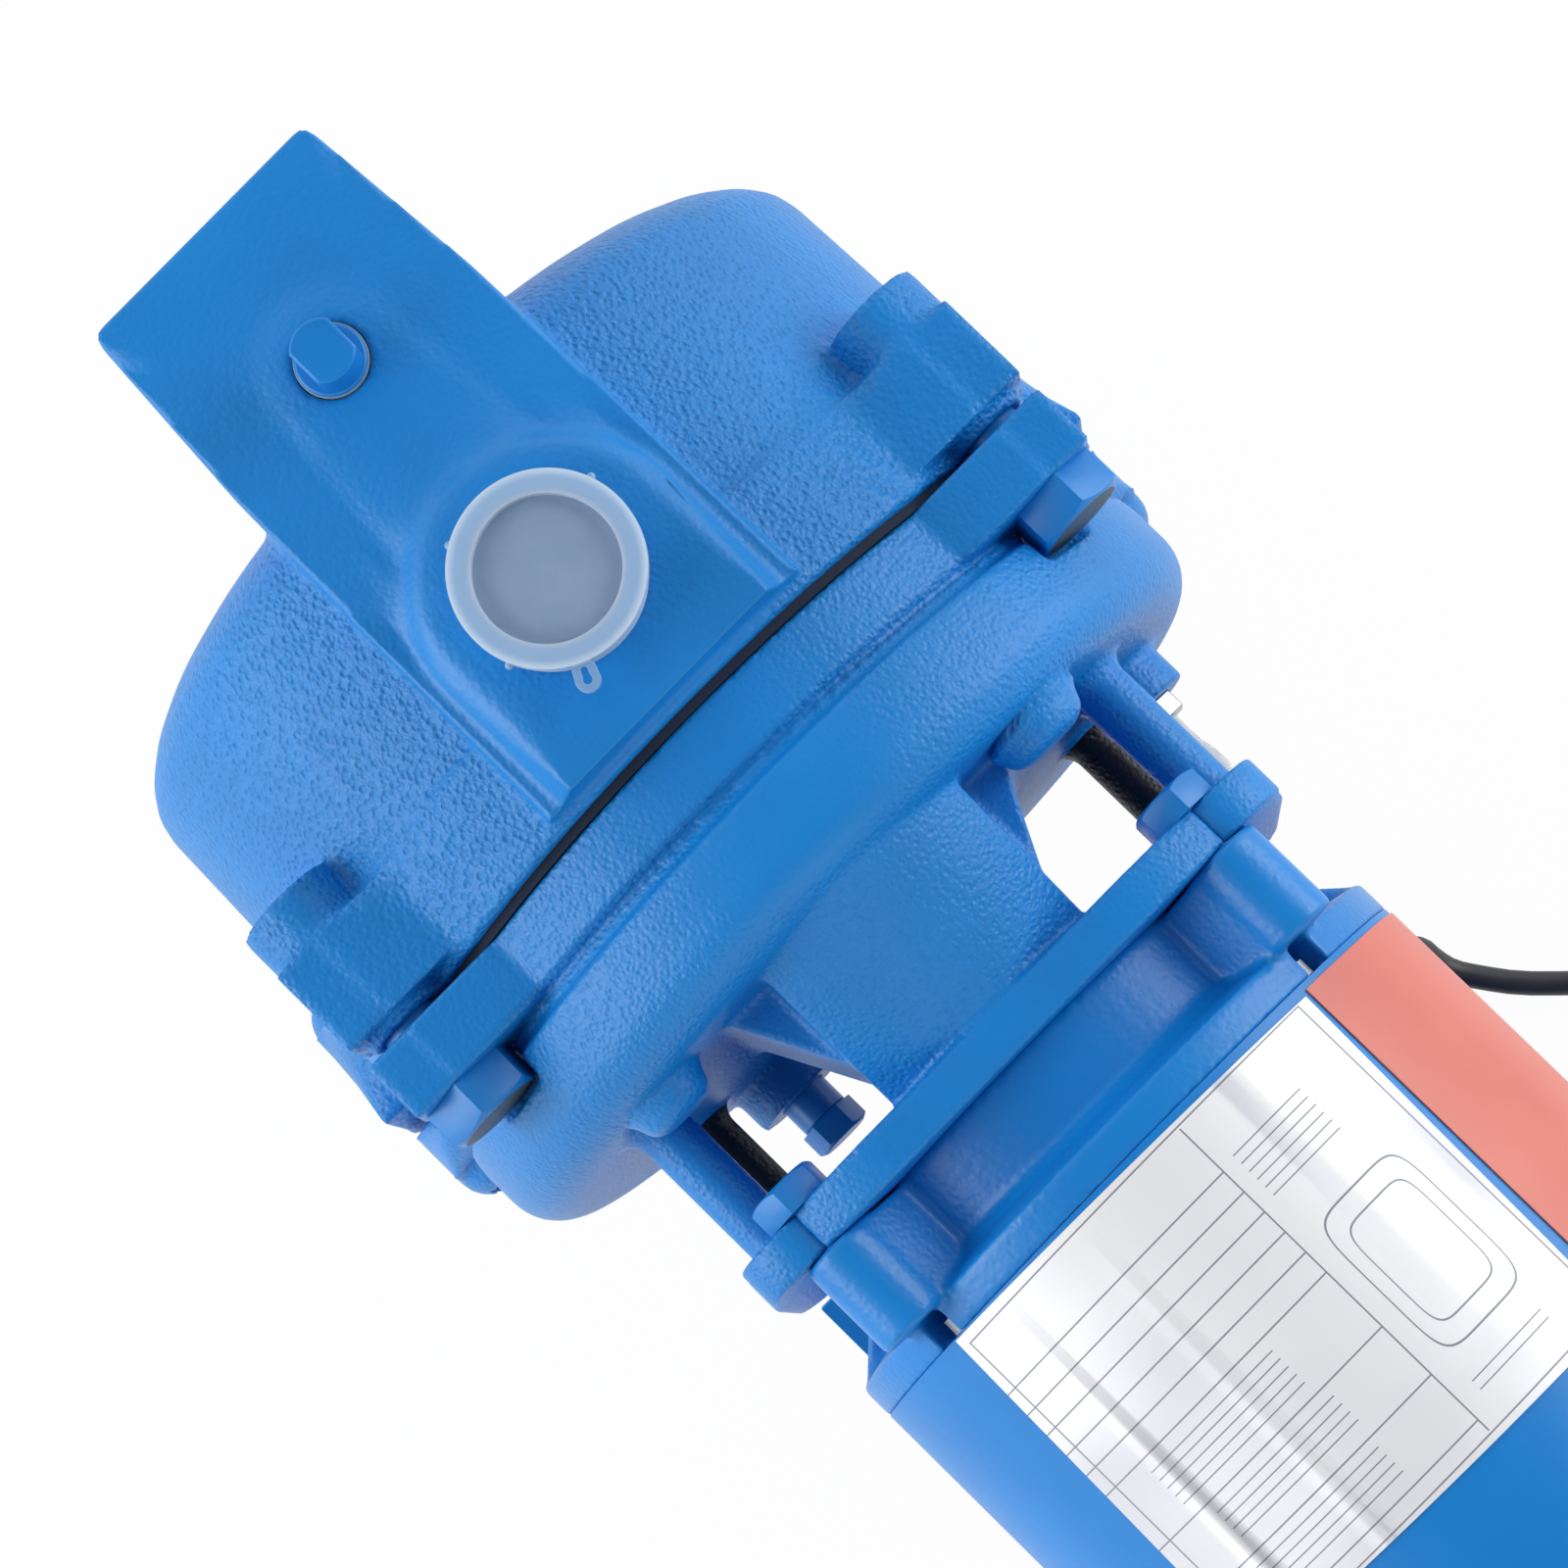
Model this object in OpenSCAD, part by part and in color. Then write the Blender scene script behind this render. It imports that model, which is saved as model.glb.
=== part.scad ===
// Shallow well jet pump with a cast iron casing, an open bracket and an electric motor.
// The shaft lies along X, the suction end points to -X, and Z is up.
// The origin is on the floor, at the middle of the four base holes.

/* [Overall] */
// Height of the shaft axis above the floor
shaft_h = 118; // [114:1:124]
// Distance along the shaft from the front foot's holes to the rear foot's holes
base_span = 230; // [226:1:234]
// Distance across the pump between the holes of one foot
base_gauge = 114; // [106:1:120]
// Diameter of the base holes
base_hole_d = 9.5; // [8:0.5:11]
// Radial clearance of a running fit
run_gap = 0.05; // [0.02:0.01:0.1]
// Clearance between pieces that move past each other
part_gap = 0.3; // [0.2:0.05:0.5]

/* [Casing] */
// Distance from the front foot's holes to the casing flange's rear face
foot_to_joint = 50.7; // [48:0.1:53]
// Length of the casing from its front face to the flange's rear face
casing_len = 89.6; // [86:0.2:94]
// Outer diameter of the drum at its flange
drum_d = 186.6; // [184:0.2:188]
// How much the drum's radius shrinks from its flange to its nose
drum_draft = 1.6; // [0.8:0.2:2.4]
// Radial size of the rounded nose edge
nose_round_r = 44; // [38:1:48]
// Length along the shaft of the rounded nose edge
nose_round_x = 20.2; // [18:0.2:24]
// Thickness of the cast iron walls
casing_wall = 6; // [5:0.5:7]
// Outer diameter of the casing flange
flange_d = 190; // [188:1:192]
// Flange edge left bare between the box and the joint
rim_strip = 2.7; // [2:0.1:4]
// Thickness of the casing flange
flange_t = 23.3; // [20:0.1:26]
// Diameter of the register that centres the adapter
register_d = 168; // [166:1:170]
// Length of the register
register_len = 6; // [5:0.5:8]

/* [Bolt lugs] */
// Diameter of the circle that the casing bolts lie on
bolt_circle_d = 200; // [198:1:202]
// Angle of the upper bolts above the horizontal
upper_bolt_deg = 36.9; // [35:0.1:39]
// Angle of the lower bolts below the horizontal
lower_bolt_deg = 28; // [26:0.5:30]
// Height of the flat top of the upper lugs above the shaft axis
lug_top = 72; // [70:0.5:74]
// Inner end of the flat top, measured from the shaft plane
lug_top_in = 46; // [42:1:50]
// Length of the upper bosses along the shaft
upper_boss_len = 33.7; // [30:0.1:36]
// Length of the lower bosses along the shaft
lower_boss_len = 36; // [32:0.5:38]
// Radius of the upper bosses
upper_boss_r = 11.5; // [11:0.5:12]
// Radius of the lower bosses
lower_boss_r = 15.4; // [14:0.1:16]
// Length of the rounded ends of the lower bosses
boss_dome = 8; // [6:0.5:10]
// Reach of the lower bosses of the adapter past its flange
lower_boss_reach = 7; // [5:0.5:8]
// Radius of the upper bosses where they meet the joint
boss_neck_r = 9.2; // [8.6:0.1:10]
// Diameter of the casing bolts
bolt_d = 12.7; // [12:0.1:13]
// Width of the casing bolt heads across their flats
bolt_head_af = 19; // [18:0.5:20]
// Thickness of the casing bolt heads
bolt_head_h = 8.7; // [8:0.1:9.5]
// Depth of the bolts in the casing
bolt_grip = 24; // [20:1:26]
// Clearance around a casing bolt in the adapter
bolt_play = 0.6; // [0.4:0.1:0.8]

/* [Jet box] */
// Reach of the box in front of the casing's front face
box_reach = 40.6; // [38:0.2:44]
// Width of the box at its front end
box_front_w = 57; // [55:0.5:60]
// Width of the box where it meets the drum
box_mid_w = 62.9; // [60:0.1:65]
// Width of the ridge that the box leaves on the drum
box_rear_w = 66; // [64:0.5:68]
// Height of the box top above the shaft axis
box_top = 93; // [92:0.5:96]
// Height of the box
box_h = 66; // [62:1:70]
// Radius of the box's upright front edges
box_edge_r = 2; // [1:0.5:4]
// Diameter of the tapped suction hole, 1 1/4 inch pipe thread
suction_d = 38.1; // [37.5:0.1:39]
// Length of the tapped suction hole
suction_len = 22; // [20:1:24]

/* [Discharge port and plug pad] */
// Distance of the discharge port's axis in front of the casing joint
port_back = 33.2; // [31:0.2:35]
// Diameter of the tapped discharge hole, 1 inch pipe thread
port_d = 29.4; // [29:0.1:30]
// Depth of the port boss below its top
port_depth = 24; // [22:1:26]
// Diameter of the counterbore at the port's mouth
port_mouth_d = 33.6; // [33.2:0.1:34]
// Depth of the counterbore at the port's mouth
port_mouth_depth = 6; // [5:0.5:7]
// Height of the port pad above the shaft axis
pad_top = 100; // [99:0.5:102]
// Width of the port pad at its top
pad_w = 52; // [50:0.5:54]
// Width of the port pad at its foot
pad_foot_w = 65; // [63:0.5:66]
// Distance of the priming plug's axis in front of the casing joint
plug_back = 93.2; // [91:0.2:95]
// Height of the priming plug's pad above the shaft axis
plug_pad_top = 95.5; // [95:0.5:97]
// Width of the priming plug's pad
plug_pad_w = 26; // [25:0.5:28]
// Width of the raised strip where it meets the port pad
strip_end_w = 38; // [36:1:40]
// Diameter of the priming hole, 3/8 inch pipe thread
plug_hole_d = 14.6; // [14:0.1:15]

/* [Discharge cap] */
// Diameter of the cap's flange
cap_d = 37.4; // [37:0.1:38]
// Thickness of the cap's flange
cap_flange_t = 2.2; // [1.8:0.1:2.6]
// Diameter of the recess in the cap's top
cap_recess_d = 26.6; // [26:0.1:27.2]
// Height of the rim round the cap's recess
cap_rim_h = 7; // [6:0.5:9]
// Thickness of the cap's walls
cap_wall = 1.6; // [1.4:0.1:1.8]
// Radius of the loop ear on the cap's edge
cap_ear_r = 2.4; // [2.2:0.1:2.6]
// Radius of the hole in the loop ear
cap_ear_hole_r = 0.9; // [0.7:0.1:1.1]
// Angle of the loop ear round the cap
cap_ear_deg = -25; // [-40:5:-10]
// How far the cap lifts off
cap_travel = 40; // [30:1:50]

/* [Priming plug] */
// Width of the plug's square head across its flats
plug_head_af = 10.7; // [10.3:0.1:11.2]
// Width of the plug's square head across its rounded corners
plug_head_ac = 12.6; // [12.2:0.1:13]
// Height of the plug's square head
plug_head_h = 9.5; // [8.5:0.5:10.5]
// Length of the plug's thread
plug_thread_len = 9; // [8:0.5:9.5]
// How far the plug lifts out
plug_travel = 20; // [15:1:30]

/* [Jet] */
// Thickness of the walls round the suction passage
chest_wall = 5; // [4.5:0.5:6]
// Half width of the suction passage
passage_half_w = 20; // [19.5:0.5:22]
// Depth of the suction passage along the shaft
passage_len = 18; // [16:1:20]
// Distance of the suction passage's front wall behind the casing's front face
passage_back = 18; // [17.5:0.5:20]
// Radius of the nozzle's thread
nozzle_r = 7; // [6.5:0.5:8]
// Width of the nozzle's hexagon across its flats
nozzle_af = 17; // [16:0.5:18]
// Radius of the nozzle's jet hole
nozzle_jet_r = 3; // [2.5:0.25:3.5]
// Length of the nozzle's tip beyond its wall
nozzle_tip_len = 9; // [8:0.5:10]
// Outer radius of the venturi tube
venturi_r = 11.6; // [11:0.1:12]
// Radius of the venturi's throat
venturi_throat_r = 5; // [4.5:0.25:5.5]
// Radius of the venturi's outlet
venturi_out_r = 9.4; // [9:0.1:9.8]
// Radius of the venturi's flange
venturi_flange_r = 14; // [13.5:0.5:15]
// Thickness of the venturi's flange
venturi_flange_t = 3; // [2.5:0.5:3.5]

/* [Impeller and diffuser] */
// Outer diameter of the impeller
impeller_d = 108; // [104:1:110]
// Width of the impeller's water channel
impeller_channel = 9; // [8:0.5:9.5]
// Thickness of the impeller's two discs
impeller_disc_t = 2.4; // [2:0.1:2.8]
// Radius of the impeller's eye
eye_r = 14; // [13.5:0.5:15]
// Length of the impeller's eye ring
eye_len = 8; // [7:0.5:9]
// Number of impeller vanes
impeller_vanes = 6; // [5:1:7]
// Thickness of an impeller vane
vane_t = 2.4; // [2:0.1:2.8]
// Radius of the impeller's hub
hub_r = 13; // [12:0.5:14]
// Outer diameter of the diffuser
diffuser_d = 154; // [150:1:155]
// Thickness of the diffuser's front disc
diffuser_t = 4; // [3.5:0.5:4.5]
// Number of diffuser vanes
diffuser_vanes = 9; // [6:3:9]
// Length of the diffuser's inlet sleeve
sleeve_len = 20; // [18:1:21]
// Radius of the three diffuser posts on the adapter
post_r = 6; // [5.5:0.5:6.5]
// Radius of the diffuser screws
post_screw_r = 2.4; // [2.2:0.1:2.6]
// Radius of the diffuser screws' heads
post_screw_head_r = 4.2; // [4:0.1:4.6]

/* [Shaft seal] */
// Radius of the seal's stationary seat
seat_r = 16; // [15.5:0.5:17]
// Length of the seal's stationary seat
seat_len = 9; // [8:0.5:9.5]
// Outer radius of the seal's turning ring
seal_ring_r = 14.5; // [14:0.5:15]
// Length of the seal's turning ring
seal_ring_len = 9; // [8:0.5:10]
// Mean radius of the seal spring's turns
seal_spring_r = 11; // [10.5:0.5:12]
// Radius of the seal spring's wire
seal_wire_r = 0.8; // [0.6:0.1:0.9]
// Length of the seal spring
seal_spring_len = 9; // [8:0.5:10]

/* [Adapter] */
// Gap between the casing flange and the adapter flange
seam = 1.8; // [1.5:0.1:2.5]
// Thickness of the adapter flange
aflange_t = 14; // [13:0.5:15]
// Outer diameter of the adapter flange
aflange_d = 183; // [181:1:185]
// Radius of the groove behind the adapter flange
groove_r = 90.5; // [90:0.5:91]
// Width of the groove behind the adapter flange
groove_w = 4.5; // [4:0.5:5]
// Outer diameter of the adapter drum
adrum_d = 189.5; // [188:0.5:191]
// Distance from the adapter flange's front face to the back wall's outer face
adapter_len = 41.5; // [41:0.5:43]
// Size of the rounded edge of the back wall
back_round = 11; // [10:0.5:12]
// Radius of the hub that holds the seal seat
seal_hub_r = 24; // [23:0.5:26]
// Radius of the rear bosses on the back wall
rear_boss_r = 8.2; // [8:0.1:8.6]
// Height of the rear bosses above the back wall
rear_boss_h = 7; // [6:0.5:8]

/* [Legs and motor flange] */
// Distance from the back wall to the motor flange
leg_len = 35; // [29:0.5:37]
// Diameter of the four legs
leg_d = 11.5; // [11:0.5:12.5]
// Distance of the legs from the shaft plane
leg_y = 61.5; // [60.5:0.5:62.5]
// Height of the upper legs above the shaft axis
leg_up = 32; // [30:1:34]
// Depth of the lower legs below the shaft axis
leg_down = 40; // [38:1:41]
// Distance of the lower legs from the shaft plane
low_leg_y = 58.5; // [57:0.5:60]
// Width of the top arm
arm_w = 52; // [50:0.5:54]
// Height of the arm's crest at the back wall above the shaft axis
arm_root_top = 87; // [86:0.5:88]
// Height of the arm's crest at the motor flange above the shaft axis
arm_end_top = 64; // [63:0.5:65]
// Radius of the arm's crown
arm_crown_r = 40; // [36:1:46]
// Thickness of the arm
arm_wall = 7; // [6:0.5:8]
// Spread of the arm's side webs at the back wall, from the shaft plane
web_spread = 38; // [36:0.5:40]
// Thickness of the side webs
web_t = 5; // [4.5:0.5:6]
// Depth of the side webs below the shaft axis
web_drop = 22; // [18:1:26]
// Width of the motor flange
plate_w = 143; // [141:0.5:145]
// Height of the motor flange
plate_h = 131; // [129:0.5:133]
// Radius of the motor flange's corners
plate_corner_r = 40; // [38:0.5:42]
// Thickness of the motor flange
plate_t = 9.5; // [9:0.25:10]
// Diameter of the circle that the motor bolts lie on
motor_circle_d = 149.2; // [148.6:0.2:149.8]
// Diameter of the motor's register
motor_register_d = 114.3; // [113:0.1:115]
// Depth of the motor's register
motor_register_len = 4; // [3:0.25:4.5]
// Diameter of the flange's open middle
plate_hole_d = 96; // [92:1:100]
// Diameter of the motor bolts
mbolt_d = 9.5; // [9:0.1:9.8]
// Width of the motor bolt heads across their flats
mbolt_af = 14.3; // [13.5:0.1:15]
// Thickness of the motor bolt heads
mbolt_head_h = 6.2; // [5.8:0.1:6.6]

/* [Drain and sensing ports] */
// Distance of the drain axis from the shaft plane
drain_y = 39; // [38:0.5:40]
// Depth of the drain axis below the shaft axis
drain_z = 62; // [61:0.5:63]
// Radius of the drain boss
drain_boss_r = 11.5; // [11:0.25:12]
// Height of the drain boss above the back wall
drain_boss_h = 9; // [8:0.5:10]
// Radius of the drain nipple
nipple_r = 5.8; // [5.6:0.1:6.2]
// Length of the drain nipple outside its boss
nipple_len = 7; // [6.5:0.5:8]
// Width of the drain plug's hexagon across its flats
drain_af = 12; // [11.5:0.1:12.5]
// Thickness of the drain plug's hexagon
drain_head_h = 6; // [5.5:0.5:6.5]
// Radius of the drain plug's thread
drain_thread_r = 3.6; // [3.4:0.1:3.8]
// How far the drain plug comes out
drain_travel = 12; // [11:0.5:13]
// Distance of the sensing port from the shaft plane
sense_y = 68.5; // [67:0.5:70]
// Depth of the sensing port below the shaft axis
sense_z = 8; // [7:0.5:9]
// Radius of the sensing boss
sense_boss_r = 10; // [9.5:0.5:10.5]
// Height of the sensing boss above the back wall
sense_boss_h = 9.5; // [9:0.5:10]
// Radius of the fitting's hexagon at its corners
fitting_hex_r = 6.4; // [6:0.1:6.8]
// Length of the fitting's hexagon
fitting_hex_len = 4.5; // [4:0.5:5]
// Radius of the fitting's barb
barb_r = 1.9; // [1.8:0.1:2]
// Length of the fitting's barb
barb_len = 7; // [6:0.5:7]
// Radius of the clear tube
tube_r = 3.2; // [3:0.1:3.4]

/* [Motor] */
// Diameter of the motor shell
shell_d = 143.4; // [142:0.2:145]
// Thickness of the motor shell
shell_wall = 2; // [1.8:0.1:2.4]
// Length of the motor shell
shell_len = 168; // [164:1:172]
// Distance from the motor flange to the shell
bell_len = 29; // [28:0.5:30]
// Width of the front bell's rim
rim_w = 7.4; // [7:0.2:8]
// Radius of the front bell's waist
waist_r = 58.5; // [57.5:0.5:59.5]
// Radius of the front bell's bolt ears
ear_r = 8.2; // [8:0.1:8.6]
// Thickness of the end bells' walls
bell_wall = 5; // [4.5:0.5:5.5]
// Length of the rear bell outside the shell
rear_bell_len = 20; // [18:0.5:22]
// Length of the rear cover
rear_cover_len = 25; // [24:1:28]
// Thickness of the rear cover
rear_cover_wall = 1.5; // [1.2:0.1:1.8]
// How far the rear cover slides off
cover_travel = 60; // [40:5:80]
// Diameter of the shaft in its bearings
journal_d = 17; // [16:0.5:18]
// Diameter of the shaft behind the seal
seal_shaft_d = 15.9; // [15.5:0.1:16]
// Outer diameter of the ball bearings
bearing_d = 40; // [38:1:42]
// Width of the ball bearings
bearing_w = 12; // [11:0.5:13]
// Number of balls in each bearing
ball_count = 8; // [7:1:8]
// Outer diameter of the stator core
stator_d = 139; // [138:0.2:140]
// Bore of the stator core
stator_bore_d = 84; // [82:0.5:86]
// Length of the stator core
stator_len = 78; // [74:1:82]
// Reach of the windings beyond the stator core
winding_reach = 16; // [14:1:18]
// Running gap between rotor and stator
air_gap = 0.5; // [0.4:0.1:0.8]
// Radius of the cooling fan
fan_r = 52; // [48:1:56]
// Number of fan blades
fan_blades = 9; // [7:1:11]
// Radius of the through bolts
stud_r = 2.5; // [2.3:0.1:2.7]
// Travel of the governor's collar
collar_travel = 2.5; // [2:0.25:3]

/* [Labels] */
// Length of the nameplate along the shaft
nameplate_len = 84; // [80:1:88]
// Width of the nameplate across the shaft to the cord side
nameplate_right = 44; // [43:0.5:45]
// Width of the nameplate across the shaft to the other side
nameplate_left = 50; // [48:0.5:51]
// Thickness of the labels
label_t = 0.4; // [0.3:0.1:0.6]
// Angle by which the nameplate is askew
nameplate_skew = 1.2; // [0:0.2:2]
// Length of the side label along the shaft
side_label_len = 96; // [90:1:100]
// Lower end of the side label, as an angle from the top
side_label_end = 112; // [105:1:120]

/* [Motor foot] */
// Thickness of the foot's sheet steel
foot_t = 3; // [2.5:0.1:3.5]
// Width of the foot
foot_w = 144; // [138:1:148]
// Length of the foot behind its holes
foot_rear = 28; // [25:1:30]
// Width of the saddle on the foot
saddle_w = 100; // [96:1:104]
// Distance from the holes to each saddle web
saddle_off = 16; // [14:1:18]

/* [Pressure switch] */
// Length of the switch cover
switch_len = 42; // [40:1:44]
// Width of the switch cover
switch_w = 40; // [38:1:42]
// Height of the switch cover
switch_h = 36; // [35:0.5:37]
// Thickness of the switch cover
switch_wall = 2; // [1.8:0.1:2.2]
// Distance from the shaft plane to the switch's middle
switch_y = 26; // [25:0.5:27]
// Distance from the motor flange's front face to the switch's pressure flange
switch_back = 10; // [9:0.5:11]
// Radius of the pressure flange
diaphragm_r = 14; // [13:0.5:14.5]
// Thickness of the pressure flange
pressure_t = 8; // [7:0.5:9]
// Thickness of the rubber diaphragm
diaphragm_t = 1.5; // [1.2:0.1:1.8]
// Radius of the plunger
plunger_r = 3; // [2.6:0.1:3.4]
// Length of the plunger's stem
plunger_len = 19; // [18:0.5:20]
// Travel of the plunger
plunger_travel = 1.5; // [1:0.1:1.8]
// Mean radius of the range spring's turns
range_spring_r = 6; // [5.5:0.1:6.5]
// Radius of the range spring's wire
range_wire_r = 0.7; // [0.6:0.1:0.8]
// Distance between the contact lever's pin and the plunger
lever_arm = 10; // [9.5:0.5:10.5]
// Thickness of the contact lever
lever_t = 2; // [1.6:0.1:2.4]
// Width of the contact lever
lever_w = 8; // [7:0.5:9]

/* [Cord] */
// Diameter of the power cord
cord_d = 5.6; // [5.4:0.1:5.8]
// Diameter of the motor lead
lead_d = 5.6; // [5.4:0.1:5.8]
// Length of the tapered strain relief
relief_len = 24; // [22:0.5:26]
// Radius of the strain relief where it leaves the cover
relief_r = 5; // [4.8:0.1:5.4]
// Mean radius of the cord coil's turns
coil_r = 32.5; // [31:0.5:33.5]
// Distance between neighbouring turns of the coil
coil_pitch = 6.4; // [6.2:0.1:6.8]
// Height from one layer of the coil to the next
coil_layer = 6.3; // [6.2:0.1:6.6]
// Thickness of the tie round the coil
tie_t = 1; // [0.8:0.1:1.2]
// Width of the tie
tie_w = 8; // [6:1:10]
// Length of the plug's body
plug_body_len = 34; // [32:1:38]
// Width of the plug's body
plug_body_w = 25; // [24:0.5:26]
// Length of the plug's flat blades
blade_len = 17; // [16:0.5:18]
// Width of the plug's flat blades
blade_w = 6.3; // [6.1:0.1:6.5]
// Thickness of the plug's flat blades
blade_t = 1.5; // [1.4:0.1:1.6]
// Distance between the plug's flat blades
blade_gap = 12.7; // [12.5:0.1:12.9]
// Length of the plug's round earth pin
earth_len = 20; // [19:0.5:21]
// Radius of the plug's round earth pin
earth_r = 2.4; // [2.3:0.1:2.5]

/* [Hidden] */
$fn = 72;
// Overrun of a cut past the face it opens
over = 0.5;
// Gap of a bonded or pressed piece
seat_gap = 0.03;

// Stations along the shaft
joint_x = -base_span/2 + foot_to_joint;
front_x = joint_x - casing_len;
box_x = front_x - box_reach;
aflange_x = joint_x + seam;
wall_x = aflange_x + adapter_len;
wall_in_x = wall_x - casing_wall;
plate_x = wall_x + leg_len;
bell_x = plate_x + plate_t;
shell_x = bell_x + bell_len;
shell_end_x = shell_x + shell_len;
cover_x = shell_end_x + rear_bell_len;
end_x = cover_x + rear_cover_len;
port_x = joint_x - port_back;
plug_x = joint_x - plug_back;
bolt_y = bolt_circle_d/2*cos(upper_bolt_deg);
bolt_z = bolt_circle_d/2*sin(upper_bolt_deg);
low_bolt_y = bolt_circle_d/2*cos(lower_bolt_deg);
low_bolt_z = -bolt_circle_d/2*sin(lower_bolt_deg);
BOLTS = [[bolt_y, bolt_z], [-bolt_y, bolt_z], [low_bolt_y, low_bolt_z], [-low_bolt_y, low_bolt_z]];
motor_off = motor_circle_d/2*cos(45);
inner_r = drum_d/2 - casing_wall - drum_draft;
shell_r = shell_d/2;

// A round bar along the shaft from x0 to x1, beside and above the axis by y and z
module bar(x0, x1, r, y = 0, z = 0) {
    translate([x0, y, shaft_h + z]) rotate([0, 90, 0]) cylinder(h = x1 - x0, r = r);
}

// A tapered round bar along the shaft
module cone(x0, x1, r0, r1, y = 0, z = 0) {
    translate([x0, y, shaft_h + z]) rotate([0, 90, 0]) cylinder(h = x1 - x0, r1 = r0, r2 = r1);
}

// A ring along the shaft
module ring(x0, x1, ro, ri, y = 0, z = 0) {
    difference() {
        bar(x0, x1, ro, y, z);
        bar(x0 - over, x1 + over, ri, y, z);
    }
}

// A shape turned about the shaft from points of [x, radius]
module turned(points) {
    translate([0, 0, shaft_h]) rotate([0, 90, 0]) rotate_extrude(angle = 360)
        polygon([for (p = points) [p[1], p[0]]]);
}

// A block between two corners, with heights from the shaft axis
module block(low, high) {
    translate([low[0], low[1], shaft_h + low[2]])
        cube([high[0] - low[0], high[1] - low[1], high[2] - low[2]]);
}

// A hexagonal bar along the shaft, by its width across flats
module hex_bar(x0, x1, af, y = 0, z = 0) {
    translate([x0, y, shaft_h + z]) rotate([0, 90, 0]) cylinder(h = x1 - x0, d = af/cos(30), $fn = 6);
}

// Both sides of the shaft plane
module both_sides() {
    children();
    mirror([0, 1, 0]) children();
}

// A tube swept along points, with a flat end at each end
function unit(v) = v/norm(v);
function heading(pts, i) = unit(pts[min(i + 1, len(pts) - 1)] - pts[max(i - 1, 0)]);
function side_of(t) = unit(cross(t, abs(t[2]) > 0.9 ? [1, 0, 0] : [0, 0, 1]));
module swept(pts, r, sides) {
    n = len(pts);
    rings = [for (i = [0 : n - 1]) let (t = heading(pts, i), u = side_of(t), v = cross(t, u))
        for (k = [0 : sides - 1]) let (a = 360*(k + 0.5)/sides) pts[i] + r*cos(a)*u + r*sin(a)*v];
    walls = [for (i = [0 : n - 2], k = [0 : sides - 1]) let (m = (k + 1) % sides)
        [i*sides + k, i*sides + m, (i + 1)*sides + m, (i + 1)*sides + k]];
    tris = [for (w = walls) each [[w[0], w[1], w[2]], [w[0], w[2], w[3]]]];
    start = [for (k = [1 : sides - 2]) [0, k + 1, k]];
    finish = [for (k = [1 : sides - 2]) (n - 1)*sides*[1, 1, 1] + [0, k, k + 1]];
    polyhedron(points = rings, faces = [for (f = concat(tris, start, finish)) [f[2], f[1], f[0]]]);
}

// A route smoothed by splitting each span at its thirds
function soften(p) = [p[0], for (i = [0 : len(p) - 2]) each [p[i]*2/3 + p[i + 1]/3, p[i]/3 + p[i + 1]*2/3],
    p[len(p) - 1]];

// Casing
nose_steps = 8;
drum_front_r = drum_d/2 - drum_draft;
function nose(len_x, round_r, round_x, r) = [for (i = [0 : nose_steps]) let (a = 90*i/nose_steps)
    [front_x + len_x + round_x*(1 - sin(a)), r - round_r + round_r*cos(a)]];
module drum_outer() {
    turned(concat([[joint_x, 0], [joint_x, flange_d/2], [joint_x - flange_t, flange_d/2],
        [joint_x - flange_t, drum_d/2]], nose(0, nose_round_r, nose_round_x, drum_front_r),
        [[front_x, 0]]));
}
module drum_inner() {
    turned(concat([[joint_x + over, 0], [joint_x + over, register_d/2],
        [joint_x - register_len, register_d/2], [joint_x - flange_t, inner_r]],
        nose(casing_wall, nose_round_r - casing_wall, nose_round_x - casing_wall/2, inner_r),
        [[front_x + casing_wall, 0]]));
}
box_end_x = joint_x - rim_strip;
box_plan = [[box_x, box_front_w/2], [front_x + box_edge_r, box_mid_w/2], [box_end_x, box_rear_w/2]];
module box_outline() {
    half = [for (p = box_plan) p];
    polygon(concat(
        [[box_x, box_edge_r - box_front_w/2], [box_x, box_front_w/2 - box_edge_r],
        [box_x + box_edge_r, box_front_w/2]], [half[1], half[2]],
        [[half[2][0], -half[2][1]], [half[1][0], -half[1][1]], [box_x + box_edge_r, -box_front_w/2]]));
}
lug_web_t = flange_t;
// A lower boss from the joint to its rounded end, with the web that ties it to the flange
dome_steps = 5;
module lower_boss(x_joint, x_end) {
    way = sign(x_end - x_joint);
    translate([x_end, low_bolt_y, shaft_h + low_bolt_z]) rotate([0, -90*way, 0]) rotate_extrude()
        polygon(concat([[0, 0]], [for (i = [0 : dome_steps]) let (a = 90*i/dome_steps)
            [lower_boss_r - boss_dome*(1 - sin(a)), boss_dome*(1 - cos(a))]],
            [[lower_boss_r, abs(x_end - x_joint) + over], [0, abs(x_end - x_joint) + over]]));
    block([min(x_joint, x_end - way*boss_dome), lug_top_in, low_bolt_z], [max(x_joint, x_end - way*boss_dome),
        low_bolt_y + lower_boss_r - over, low_bolt_z/4]);
}
lug_side = bolt_y + upper_boss_r - 1.5*part_gap;
module casing_lugs() {
    both_sides() {
        bar(joint_x - upper_boss_len, box_end_x, upper_boss_r, bolt_y, bolt_z);
        bar(box_end_x - over, joint_x, boss_neck_r, bolt_y, bolt_z);
        lower_boss(joint_x - over, joint_x - lower_boss_len);
        block([joint_x - lug_web_t, lug_top_in, 0], [box_end_x, bolt_y, lug_top]);
        block([joint_x - lug_web_t, bolt_y - over, bolt_z - upper_boss_r], [box_end_x, lug_side,
            lug_top - over]);
    }
}
foot_pad_h = 10;
foot_pad_len = 34;
foot_edge = 14;
foot_rib_t = 16;
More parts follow.
